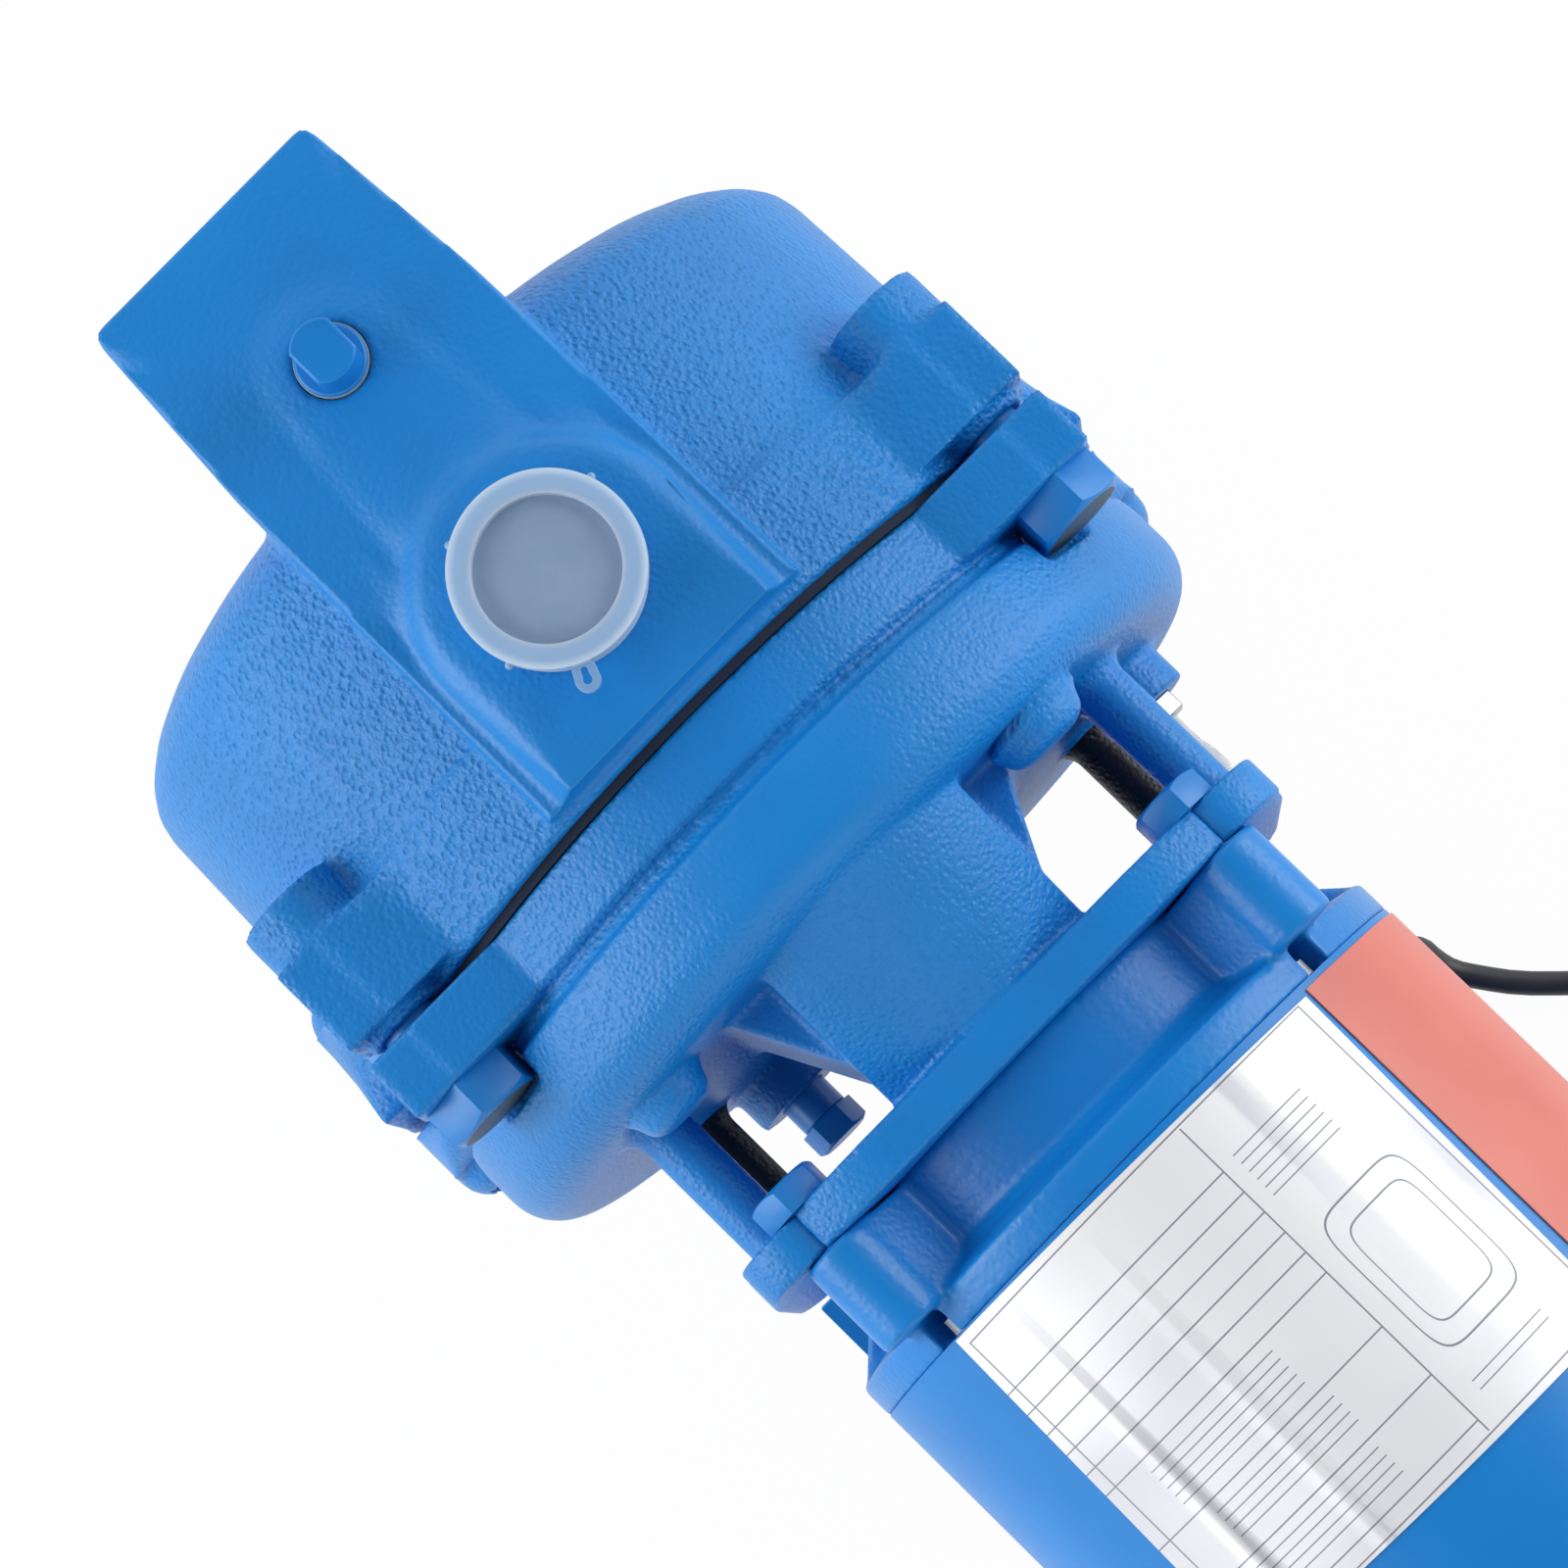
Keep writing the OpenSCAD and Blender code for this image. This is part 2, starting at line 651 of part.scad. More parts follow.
foot_top_z = -sqrt(pow(drum_front_r, 2) - pow(base_gauge/2, 2)) + casing_wall/2;
module casing_foot() {
    translate([-base_span/2 - foot_pad_len/2, -base_gauge/2 - foot_edge, 0])
        cube([foot_pad_len, base_gauge + 2*foot_edge, foot_pad_h]);
    translate([-base_span/2 - foot_rib_t/2, -base_gauge/2 + foot_edge, 0])
        cube([foot_rib_t, base_gauge - 2*foot_edge, shaft_h + foot_top_z]);
    both_sides() translate([-base_span/2 - foot_pad_len/2, base_gauge/2 - foot_edge - foot_rib_t/2, 0])
        cube([foot_pad_len, foot_rib_t/2, shaft_h + foot_top_z - casing_wall]);
}
passage_x = front_x + passage_back;
passage_top = box_top - chest_wall - casing_wall;
passage_low = box_top - box_h + 2*chest_wall;
suction_z = box_top - box_h/2;
port_base = pad_top - port_depth;
module port_pad() {
    translate([port_x, 0, 0]) rotate([90, 0, 90])
        linear_extrude(height = port_back - rim_strip) polygon([
            [-pad_foot_w/2, shaft_h + box_top - 2*casing_wall],
            [-pad_foot_w/2, shaft_h + box_top - casing_wall], [-pad_w/2, shaft_h + pad_top],
            [pad_w/2, shaft_h + pad_top], [pad_foot_w/2, shaft_h + box_top - casing_wall],
            [pad_foot_w/2, shaft_h + box_top - 2*casing_wall]]);
    intersection() {
        translate([port_x, 0, shaft_h + box_top - casing_wall])
            cylinder(h = pad_top - box_top + casing_wall, r1 = pad_foot_w/2, r2 = pad_w/2);
        block([front_x, -pad_foot_w, 0], [box_end_x, pad_foot_w, pad_top + over]);
    }
}
module plug_pad() {
    rise = plug_pad_top - box_top + casing_wall;
    translate([plug_x, 0, shaft_h + box_top - casing_wall])
        cylinder(h = rise, r1 = plug_pad_w/2 + casing_wall/2, r2 = plug_pad_w/2);
    translate([0, 0, shaft_h + box_top - casing_wall]) linear_extrude(height = rise)
        polygon([[plug_x, -plug_pad_w/2], [plug_x, plug_pad_w/2], [port_x, strip_end_w/2],
            [port_x, -strip_end_w/2]]);
}
module pump_casing() {
    color("#2b7fcc") difference() {
        union() {
            difference() {
                union() {
                    drum_outer();
                    casing_lugs();
                    translate([0, 0, shaft_h
                        + box_top - box_h]) linear_extrude(height = box_h) box_outline();
                    port_pad();
                    plug_pad();
                    casing_foot();
                }
                drum_inner();
            }
            block([passage_x - chest_wall, -passage_half_w - chest_wall, -passage_half_w - chest_wall],
                [passage_x + passage_len + chest_wall, passage_half_w + chest_wall, box_top - casing_wall]);
            block([front_x + over, -passage_half_w - chest_wall, passage_low - chest_wall],
                [passage_x, passage_half_w + chest_wall, box_top - casing_wall]);
            translate([port_x, 0, shaft_h + port_base])
                cylinder(h = port_depth - over, r = port_mouth_d/2 + chest_wall);
        }
        block([passage_x, -passage_half_w, -passage_half_w],
            [passage_x + passage_len, passage_half_w, passage_top]);
        block([box_x + suction_len - over, -passage_half_w, passage_low],
            [passage_x + over, passage_half_w, passage_top]);
        bar(box_x - over, box_x + suction_len, suction_d/2, 0, suction_z);
        translate([plug_x, 0, shaft_h + passage_top - over])
            cylinder(h = plug_pad_top - passage_top + 2*over, d = plug_hole_d);
        translate([port_x, 0, shaft_h + port_base - over])
            cylinder(h = port_depth + 2*over, d = port_d);
        translate([port_x, 0, shaft_h + pad_top - port_mouth_depth])
            cylinder(h = port_mouth_depth + over, d = port_mouth_d);
        bar(passage_x - chest_wall - over, passage_x + over, nozzle_r + seat_gap);
        bar(passage_x + passage_len - over, passage_x + passage_len + chest_wall + over,
            venturi_r + part_gap);
        for (b = BOLTS) bar(joint_x - bolt_grip - part_gap, joint_x + over, bolt_d/2 + run_gap, b[0], b[1]);
        both_sides() translate([-base_span/2, base_gauge/2, -over])
            cylinder(h = foot_pad_h + 2*over, d = base_hole_d);
    }
}

// Discharge cap, pushed into the mouth of the port
cap_plug_r = port_mouth_d/2 - part_gap;
module discharge_cap() {
    color("#a9c4de") translate([port_x, 0, shaft_h + pad_top]) difference() {
        union() {
            translate([0, 0, cap_rim_h]) cylinder(h = cap_flange_t, d = cap_d);
            cylinder(h = cap_rim_h, d = cap_d - cap_wall);
            translate([0, 0, part_gap - port_mouth_depth])
                cylinder(h = port_mouth_depth, r = cap_plug_r);
            rotate([0, 0, cap_ear_deg]) translate([cap_d/2 + cap_ear_r - cap_wall/2, 0, cap_rim_h])
                cylinder(h = cap_wall, r = cap_ear_r);
        }
        translate([0, 0, cap_rim_h]) cylinder(h = cap_flange_t + over, d = cap_recess_d);
        translate([0, 0, part_gap - port_mouth_depth - over])
            cylinder(h = cap_rim_h + port_mouth_depth - cap_wall, r = cap_plug_r - cap_wall);
        rotate([0, 0, cap_ear_deg]) translate([cap_d/2 + cap_ear_r - cap_wall/2, 0, cap_rim_h - over])
            cylinder(h = cap_wall + 2*over, r = cap_ear_hole_r);
    }
}

// Priming plug with a square head
module priming_plug() {
    color("#2f78bd") translate([plug_x, 0, shaft_h + plug_pad_top]) {
        translate([0, 0, -plug_thread_len]) cylinder(h = plug_thread_len, r = plug_hole_d/2 - run_gap);
        cylinder(h = plug_head_h/4, r = plug_hole_d/2 - run_gap);
        intersection() {
            translate([-plug_head_af/2, -plug_head_af/2, 0]) cube([plug_head_af, plug_head_af, plug_head_h]);
            cylinder(h = plug_head_h, d = plug_head_ac);
        }
    }
}

// Nozzle, screwed into the passage's front wall
nozzle_back_x = passage_x - chest_wall - part_gap;
nozzle_head_t = 5;
nozzle_end_x = passage_x + nozzle_tip_len;
module nozzle() {
    color("#c9a14a") difference() {
        union() {
            hex_bar(nozzle_back_x - nozzle_head_t, nozzle_back_x, nozzle_af);
            bar(nozzle_back_x - over, passage_x, nozzle_r);
            cone(passage_x, nozzle_end_x, nozzle_r, nozzle_jet_r + casing_wall/4);
        }
        cone(nozzle_back_x - nozzle_head_t - over, nozzle_end_x - nozzle_tip_len/4,
            nozzle_r - casing_wall/4, nozzle_jet_r);
        bar(nozzle_end_x - nozzle_tip_len/4 - over, nozzle_end_x + over, nozzle_jet_r);
    }
}

// Venturi tube, from the passage to the impeller's eye
sleeve_x = joint_x - register_len - sleeve_len - diffuser_t - eye_len;
venturi_wall_x = passage_x + passage_len;
venturi_mouth_x = venturi_wall_x - venturi_flange_t;
throat_x = venturi_wall_x + chest_wall + part_gap;
venturi_end_x = sleeve_x + sleeve_len/2;
module venturi() {
    color("#26282b") difference() {
        union() {
            bar(venturi_mouth_x - part_gap, venturi_wall_x - part_gap, venturi_flange_r);
            bar(venturi_wall_x - part_gap - over, venturi_end_x, venturi_r);
        }
        cone(venturi_mouth_x - part_gap - over, throat_x, venturi_out_r, venturi_throat_r);
        cone(throat_x - over/4, venturi_end_x + over, venturi_throat_r, venturi_out_r);
    }
}
o_ring_w = 2;
module venturi_o_ring() {
    color("#151515") ring(throat_x, throat_x + o_ring_w, venturi_r + 2*o_ring_w, venturi_r + seat_gap);
}

// Impeller with its hub to the motor side
hub_end_x = wall_in_x - seat_len - seal_ring_len - seal_spring_len - 3*part_gap;
rear_disc_x = hub_end_x - impeller_disc_t;
channel_x = rear_disc_x - impeller_channel;
front_disc_x = channel_x - impeller_disc_t;
eye_x = front_disc_x - eye_len;
stub_r = seal_shaft_d/2 - casing_wall/3;
module impeller() {
    color("#cfc9b8") {
        difference() {
            union() {
                ring(front_disc_x, channel_x, impeller_d/2, eye_r);
                ring(eye_x, front_disc_x + over, eye_r + impeller_disc_t + vane_t/2, eye_r);
                bar(rear_disc_x, hub_end_x, impeller_d/2);
                bar(channel_x - impeller_disc_t, rear_disc_x + over, hub_r);
                for (i = [0 : impeller_vanes - 1]) translate([0, 0, shaft_h])
                    rotate([360*i/impeller_vanes, 0, 0]) impeller_vane();
            }
            bar(channel_x + impeller_disc_t, hub_end_x + over, stub_r + seat_gap);
        }
    }
}
module impeller_vane() {
    bend_r = impeller_d/4 + hub_r/2;
    intersection() {
        translate([channel_x - impeller_disc_t/2, 0, bend_r]) rotate([0, 90, 0]) difference() {
            cylinder(h = impeller_channel + impeller_disc_t, r = bend_r);
            translate([0, 0, -over]) cylinder(h = impeller_channel + impeller_disc_t + 2*over,
                r = bend_r - vane_t);
        }
        translate([channel_x - impeller_disc_t/2, 0, eye_r*cos(45)])
            cube([impeller_channel + impeller_disc_t, impeller_d, impeller_d/2 - eye_r]);
        translate([channel_x - impeller_disc_t, 0, 0]) rotate([0, 90, 0])
            cylinder(h = impeller_channel + 2*impeller_disc_t, r = impeller_d/2 - vane_t/2);
    }
}

// Diffuser, carried by three posts on the adapter
diffuser_x = front_disc_x - part_gap - diffuser_t;
diffuser_rear_x = hub_end_x + part_gap;
vane_in_r = impeller_d/2 + 2*part_gap + vane_t;
post_y_share = 0.93;
post_ring_r = diffuser_d/2*post_y_share - post_r/3;
post_deg = 52;
post_x = diffuser_rear_x + part_gap;
module diffuser() {
    color("#3a3d40") difference() {
        union() {
            bar(diffuser_x, diffuser_x + diffuser_t, diffuser_d/2);
            bar(venturi_end_x - sleeve_len/2, diffuser_x + over, eye_r + 2*diffuser_t);
            for (i = [0 : diffuser_vanes - 1]) translate([0, 0, shaft_h])
                rotate([360*i/diffuser_vanes, 0, 0]) diffuser_vane();
            for (i = [0 : 2]) rotate_about_shaft(120*i + post_deg)
                bar(diffuser_x + over, diffuser_rear_x, post_r, post_ring_r, 0);
        }
        bar(venturi_end_x - sleeve_len/2 - over, venturi_end_x + part_gap, venturi_r + part_gap);
        cone(venturi_end_x, eye_x - part_gap, venturi_out_r, eye_r);
        bar(eye_x - 2*part_gap, diffuser_x + diffuser_t + over,
            eye_r + impeller_disc_t + vane_t/2 + part_gap);
        for (i = [0 : 2]) rotate_about_shaft(120*i + post_deg)
            bar(diffuser_x - over, diffuser_rear_x + over, post_screw_r + part_gap, post_ring_r, 0);
    }
}
module rotate_about_shaft(a) {
    translate([0, 0, shaft_h]) rotate([a, 0, 0]) translate([0, 0, -shaft_h]) children();
}
module diffuser_vane() {
    vane_h = diffuser_rear_x - diffuser_x - 2*over;
    translate([diffuser_x + over, 0, 0]) intersection() {
        translate([0, vane_in_r*cos(35), vane_in_r*sin(35)]) rotate([80, 0, 0])
            translate([0, 0, -vane_t/2]) cube([vane_h, diffuser_d/4, vane_t]);
        rotate([0, 90, 0]) cylinder(h = vane_h, r = diffuser_d/2 - vane_t/2);
        difference() {
            rotate([0, 90, 0]) cylinder(h = vane_h, r = diffuser_d/2);
            translate([-over, 0, 0]) rotate([0, 90, 0]) cylinder(h = vane_h + 2*over,
                r = vane_in_r - vane_t/2);
        }
    }
}
post_screw_h = 3;
module diffuser_screws() {
    color("#b8bcc0") for (i = [0 : 2]) rotate_about_shaft(120*i + post_deg) {
        bar(diffuser_x - post_screw_h, diffuser_x, post_screw_head_r, post_ring_r, 0);
        bar(diffuser_x - over, wall_in_x - casing_wall, post_screw_r, post_ring_r, 0);
    }
}

// Shaft seal
seat_x = wall_in_x - seat_len - part_gap;
seal_ring_x = seat_x - 2*run_gap - seal_ring_len;
module seal_seat() {
    color("#e8e4da") ring(seat_x, seat_x + seat_len, seat_r, seal_shaft_d/2 + 1.5*part_gap);
}
module seal_ring() {
    color("#232323") ring(seal_ring_x, seal_ring_x + seal_ring_len, seal_ring_r,
        seal_shaft_d/2 + seat_gap);
}
spring_rings = 8;
function coil_points(x0, x1, mean_r, turns, y, z) = [for (i = [0 : turns*spring_rings])
    let (a = 360*i/spring_rings) [x0 + (x1 - x0)*i/(turns*spring_rings), y + mean_r*cos(a),
        z + mean_r*sin(a)]];
seal_turns = 3;
seal_spring_x = hub_end_x + seal_wire_r + seat_gap;
module seal_spring() {
    color("#c4c8cc") swept(coil_points(seal_spring_x, seal_ring_x - seal_wire_r - seat_gap,
        seal_spring_r, seal_turns, 0, shaft_h), seal_wire_r, 6);
}

// Gasket between casing and adapter
gasket_in = 2;
gasket_w = 6.5;
module casing_gasket() {
    color("#131517") ring(joint_x, aflange_x, register_d/2 + gasket_in + gasket_w - over,
        register_d/2 + gasket_in - over);
}

// Casing bolts: heads on the adapter, threads in the casing
bolt_point = 1.5;
module casing_bolts() {
    color("#2f78bd") for (b = BOLTS) {
        hex_bar(aflange_x + aflange_t, aflange_x + aflange_t + bolt_head_h, bolt_head_af, b[0], b[1]);
        bar(joint_x - bolt_grip + bolt_point, aflange_x + aflange_t + over, bolt_d/2, b[0], b[1]);
        cone(joint_x - bolt_grip, joint_x - bolt_grip + bolt_point, bolt_d/2 - bolt_point, bolt_d/2,
            b[0], b[1]);
    }
}

// Adapter: rear half of the water chamber, legs, arm and motor flange in one casting
groove_x = aflange_x + aflange_t;
adapter_in_r = adrum_d/2 - 5/4*casing_wall;
module adapter_shell() {
    rim_r = adrum_d/2;
    difference() {
        turned([[aflange_x - register_len + part_gap, 0], [aflange_x - register_len + part_gap,
            register_d/2 - part_gap],
            [aflange_x, register_d/2 - part_gap], [aflange_x, aflange_d/2], [groove_x, aflange_d/2],
            [groove_x + groove_w/3, groove_r], [groove_x + groove_w*2/3, groove_r],
            [groove_x + groove_w, rim_r - over], [groove_x + 2*groove_w, rim_r],
            for (i = [0 : nose_steps]) let (a = 90*i/nose_steps)
                [wall_x - back_round + back_round*sin(a), rim_r - back_round + back_round*cos(a)],
            [wall_x, 0]]);
        turned([[aflange_x - register_len, 0], [aflange_x - register_len, register_d/2 - casing_wall],
            [aflange_x, register_d/2 - casing_wall], [groove_x + bolt_head_h + groove_w, adapter_in_r],
            [wall_in_x - back_round + casing_wall, adapter_in_r],
            [wall_in_x, adapter_in_r - back_round + casing_wall], [wall_in_x, 0]]);
    }
}
module adapter_lugs() {
    both_sides() {
        bar(aflange_x, groove_x, upper_boss_r, bolt_y, bolt_z);
        difference() {
            union() {
                lower_boss(aflange_x + over, groove_x + lower_boss_reach);
                block([aflange_x, lug_top_in, 0], [groove_x, bolt_y, lug_top]);
                block([aflange_x, bolt_y - over, bolt_z - upper_boss_r], [groove_x, lug_side,
                    lug_top - over]);
            }
            bar(aflange_x - over, groove_x + over, register_d/2 - casing_wall);
        }
    }
}
head_pocket_r = bolt_head_af/2/cos(30) + part_gap;
arm_tilt = atan2(arm_root_top - arm_end_top, leg_len);
arm_base = 20;
module arm_crown(r) {
    translate([wall_x, 0, shaft_h + arm_root_top - arm_crown_r/cos(arm_tilt)]) rotate([0, 90 + arm_tilt, 0])
        translate([0, 0, -arm_crown_r]) cylinder(h = leg_len + 3*arm_crown_r, r = r);
}
module top_arm() {
    difference() {
        intersection() {
            block([wall_x - casing_wall/2, -arm_w/2, arm_base - casing_wall], [plate_x + over, arm_w/2,
                arm_root_top + casing_wall]);
            union() {
                arm_crown(arm_crown_r);
                block([wall_x - casing_wall, -arm_w/2, arm_base - casing_wall], [plate_x + over, arm_w/2,
                    arm_end_top - arm_crown_r + arm_crown_r/2]);
            }
        }
        intersection() {
            union() {
                arm_crown(arm_crown_r - arm_wall);
                block([wall_x - casing_wall, web_t - arm_w/2, arm_base - 2*casing_wall],
                    [plate_x + 2*over, arm_w/2 - web_t, arm_end_top - arm_crown_r + arm_crown_r/2]);
            }
            block([wall_x - casing_wall, web_t - arm_w/2, arm_base - 2*casing_wall],
                [plate_x + 2*over, arm_w/2 - web_t, arm_root_top]);
        }
    }
}
web_len_share = 0.66;
module side_webs() {
    both_sides() translate([0, 0, shaft_h - web_drop]) linear_extrude(height = web_drop
        + arm_end_top - arm_wall)
        polygon([[wall_x - over, web_spread], [wall_x + leg_len*web_len_share, arm_w/2],
            [wall_x + leg_len*web_len_share, arm_w/2 - web_t], [wall_x - over, arm_w/2 - web_t]]);
}
module legs() {
    root_h = casing_wall/2;
    both_sides() for (p = [[leg_y, leg_up], [low_leg_y, -leg_down]]) {
        bar(wall_x - over, plate_x + over, leg_d/2, p[0], p[1]);
        cone(wall_x - over, wall_x + root_h, leg_d/2 + root_h*2/3, leg_d/2, p[0], p[1]);
    }
}
boss_right_y = 47;
boss_right_z = 62;
boss_left_y = -55;
boss_left_z = 54;
module rear_bosses() {
    for (p = [[boss_right_y, boss_right_z], [boss_left_y, boss_left_z]]) {
        bar(wall_x - back_round, wall_x + rear_boss_h - rear_boss_r/4, rear_boss_r, p[0], p[1]);
        cone(wall_x + rear_boss_h - rear_boss_r/4, wall_x + rear_boss_h, rear_boss_r, rear_boss_r*3/4,
            p[0], p[1]);
    }
    bar(wall_x - casing_wall/2, wall_x + drain_boss_h, drain_boss_r, -drain_y, -drain_z);
    bar(wall_x - casing_wall/2, wall_x + sense_boss_h, sense_boss_r, sense_y, -sense_z);
}
module motor_plate() {
    difference() {
        translate([plate_x, 0, shaft_h]) rotate([90, 0, 90]) linear_extrude(height = plate_t)
            rounded_box(plate_w, plate_h, plate_corner_r);
        bar(bell_x - motor_register_len, bell_x + over, motor_register_d/2 + run_gap);
        bar(plate_x - over, bell_x + over, plate_hole_d/2);
    }
}
module rounded_box(w, h, r) {
    union() {
        square([w, h - 2*r], center = true);
        square([w - 2*r, h], center = true);
        for (y = [-1, 1], z = [-1, 1]) translate([y*(w/2 - r), z*(h/2 - r)]) circle(r = r);
    }
}
module diffuser_posts() {
    for (i = [0 : 2]) rotate_about_shaft(120*i + post_deg)
        bar(post_x, wall_in_x + over, post_r, post_ring_r, 0);
}
module motor_adapter() {
    color("#2877c4") difference() {
        union() {
            adapter_shell();
            adapter_lugs();
            bar(seat_x - part_gap, wall_x, seal_hub_r);
            diffuser_posts();
            top_arm();
            side_webs();
            legs();
            rear_bosses();
            motor_plate();
        }
        bar(seat_x - part_gap - over, wall_in_x, seat_r + seat_gap);
        bar(wall_in_x - over, wall_x + over, seal_shaft_d/2 + 2*part_gap);
        for (b = BOLTS) {
            bar(aflange_x - over, groove_x + over, bolt_d/2 + bolt_play, b[0], b[1]);
            bar(groove_x, groove_x + bolt_head_h + casing_wall/4, head_pocket_r, b[0], b[1]);
        }
        for (i = [0 : 2]) rotate_about_shaft(120*i + post_deg)
            bar(post_x - over, wall_in_x - casing_wall + part_gap, post_screw_r + seat_gap, post_ring_r, 0);
        bar(wall_in_x - over, wall_x + drain_boss_h + over, nipple_r + seat_gap, -drain_y, -drain_z);
        bar(wall_in_x - over, wall_x + sense_boss_h + over, barb_r + 2*seat_gap + tube_r/2, sense_y,
            -sense_z);
        for (y = [-1, 1], z = [-1, 1])
            bar(plate_x - over, bell_x + over, mbolt_d/2 + part_gap, y*motor_off, z*motor_off);
    }
}
mbolt_len = 17;
module motor_bolts() {
    color("#2f78bd") for (y = [-1, 1], z = [-1, 1]) {
        hex_bar(plate_x - mbolt_head_h, plate_x, mbolt_af, y*motor_off, z*motor_off);
        bar(plate_x - over, bell_x + mbolt_len, mbolt_d/2, y*motor_off, z*motor_off);
    }
}

// Drain and sensing pieces
drain_face_x = wall_x + drain_boss_h;
nipple_end_x = drain_face_x + nipple_len;
module drain_nipple() {
    color("#2f78bd") ring(wall_in_x, nipple_end_x, nipple_r, drain_thread_r + run_gap, -drain_y, -drain_z);
}
drain_plug_stem = 10;
module drain_plug() {
    color("#2b6fb3") {
        bar(nipple_end_x - drain_plug_stem, nipple_end_x + over, drain_thread_r, -drain_y, -drain_z);
        hex_bar(nipple_end_x, nipple_end_x + drain_head_h, drain_af, -drain_y, -drain_z);
    }
}
sense_face_x = wall_x + sense_boss_h;
barb_x = sense_face_x + fitting_hex_len;
fitting_bore_r = 1.1;
module sensing_fitting() {
    color("#b9bcb8") difference() {
        union() {
            bar(wall_x, sense_face_x + over, barb_r + tube_r/2, sense_y, -sense_z);
            translate([sense_face_x, sense_y, shaft_h - sense_z]) rotate([0, 90, 0])
                cylinder(h = fitting_hex_len, r = fitting_hex_r, $fn = 6);
            bar(barb_x - over, barb_x + barb_len, barb_r, sense_y, -sense_z);
        }
        bar(wall_x - over, barb_x + barb_len + over, fitting_bore_r, sense_y, -sense_z);
    }
}
switch_x = plate_x + switch_back;
switch_z = foot_t + switch_h/2;
barb2_x = switch_x - barb_len;
// Route of the clear tube from the sensing fitting to the pressure switch, along X from the motor flange
TUBE_ROUTE = [for (p = [[-11.6, 69, 109], [-8.6, 70, 104.5], [-7.6, 70.8, 96], [-7.6, 71.2, 84],
    [-7.6, 71.2, 70], [-8, 70, 56], [-8.4, 66, 42], [-9, 57, 30], [-8, 44, 23], [-5, 33, 21]])
    p + [plate_x, 0, 0]];
tube_start = [barb_x, sense_y, shaft_h - sense_z];
tube_end = [switch_x, switch_y, switch_z];
tube_path = soften(concat([tube_start, tube_start + [barb_len, 0, 0]],
    TUBE_ROUTE, [tube_end - [barb_len, 0, 0], tube_end]));
module switch_tube() {
    color("#dfe7ea") difference() {
        swept(tube_path, tube_r, 12);
        bar(barb_x - over, barb_x + barb_len + part_gap, barb_r + 2*seat_gap, sense_y, -sense_z);
        bar(barb2_x - part_gap, switch_x + over, barb_r + 2*seat_gap, switch_y, switch_z - shaft_h);
    }
}

// Turning pieces of the motor
bearing_x = bell_x + bell_len/4;
rear_bearing_x = shell_end_x + casing_wall/3;
slinger_x = wall_x + casing_wall;
slinger_t = 3;
module slinger() {
    color("#1b1b1b") ring(slinger_x, slinger_x + slinger_t, seal_shaft_d/2 + 2*slinger_t,
        seal_shaft_d/2 + seat_gap);
}
core_x = shell_x + (shell_len - stator_len)*0.5;
core_end_x = core_x + stator_len;
shaft_end_x = cover_x + rear_cover_len*0.3;
core_shaft_r = journal_d/2 + casing_wall/3;
module shaft() {
    color("#b6babd") union() {
        bar(channel_x + 2*impeller_disc_t, hub_end_x, stub_r);
        bar(hub_end_x, bearing_x - part_gap, seal_shaft_d/2);
        bar(bearing_x - part_gap, bearing_x + bearing_w + part_gap, journal_d/2);
        bar(bearing_x + bearing_w + part_gap, rear_bearing_x - part_gap, core_shaft_r);
        bar(rear_bearing_x - part_gap, shaft_end_x, journal_d/2);
    }
}
ring_t = 4.2;
ball_r = 3.2;
pitch_r = (bearing_d + journal_d)/4;
BEARINGS = [bearing_x, rear_bearing_x];
module bearing_outer_rings() {
    color("#c2c6ca") for (x = BEARINGS) difference() {
        ring(x, x + bearing_w, bearing_d/2, bearing_d/2 - ring_t + ball_r/3);
        ball_groove(x);
    }
}
module bearing_inner_rings() {
    color("#c2c6ca") for (x = BEARINGS) difference() {
        ring(x, x + bearing_w, journal_d/2 + ring_t - ball_r/3, journal_d/2 + seat_gap);
        ball_groove(x);
    }
}
module ball_groove(x) {
    translate([x + bearing_w/2, 0, shaft_h]) rotate([0, 90, 0]) rotate_extrude(angle = 360)
        translate([pitch_r, 0]) circle(r = ball_r + run_gap, $fn = 32);
}
module bearing_balls() {
    color("#d9dcdf") for (x = BEARINGS, i = [0 : ball_count - 1]) translate([x + bearing_w/2, 0, shaft_h])
        rotate([360*i/ball_count, 0, 0]) translate([0, 0, pitch_r]) sphere(r = ball_r);
}
washer_t = 1;
module wave_washer() {
    color("#9aa0a5") ring(rear_bearing_x + bearing_w + seat_gap, rear_bearing_x + bearing_w + washer_t,
        bearing_d/2 - part_gap,
        bearing_d/2 - ring_t + ball_r/3);
}
module rotor_core() {
    color("#8f9499") {
        ring(core_x, core_end_x, stator_bore_d/2 - air_gap, core_shaft_r + seat_gap);
        for (x = [core_x - winding_reach/2, core_end_x - over])
            ring(x, x + winding_reach/2 + over, stator_bore_d/2 - 2*ring_t, stator_bore_d/2 - 4*ring_t);
    }
}
module stator_core() {
    color("#6d7276") difference() {
        ring(core_x, core_end_x, stator_d/2, stator_bore_d/2);
        for (i = [0 : 3]) rotate_about_shaft(90*i + 45)
            bar(core_x - over, core_end_x + over, stud_r + part_gap, stud_ring_r, 0);
    }
}
winding_clear = 3;
module windings() {
    color("#b5622f") for (x = [core_x - winding_reach, core_end_x])
        ring(x + (x < core_x ? 0 : seat_gap), x + winding_reach - (x < core_x ? seat_gap : 0),
            stator_d/2 - 3*winding_clear, stator_bore_d/2 + winding_clear);
}

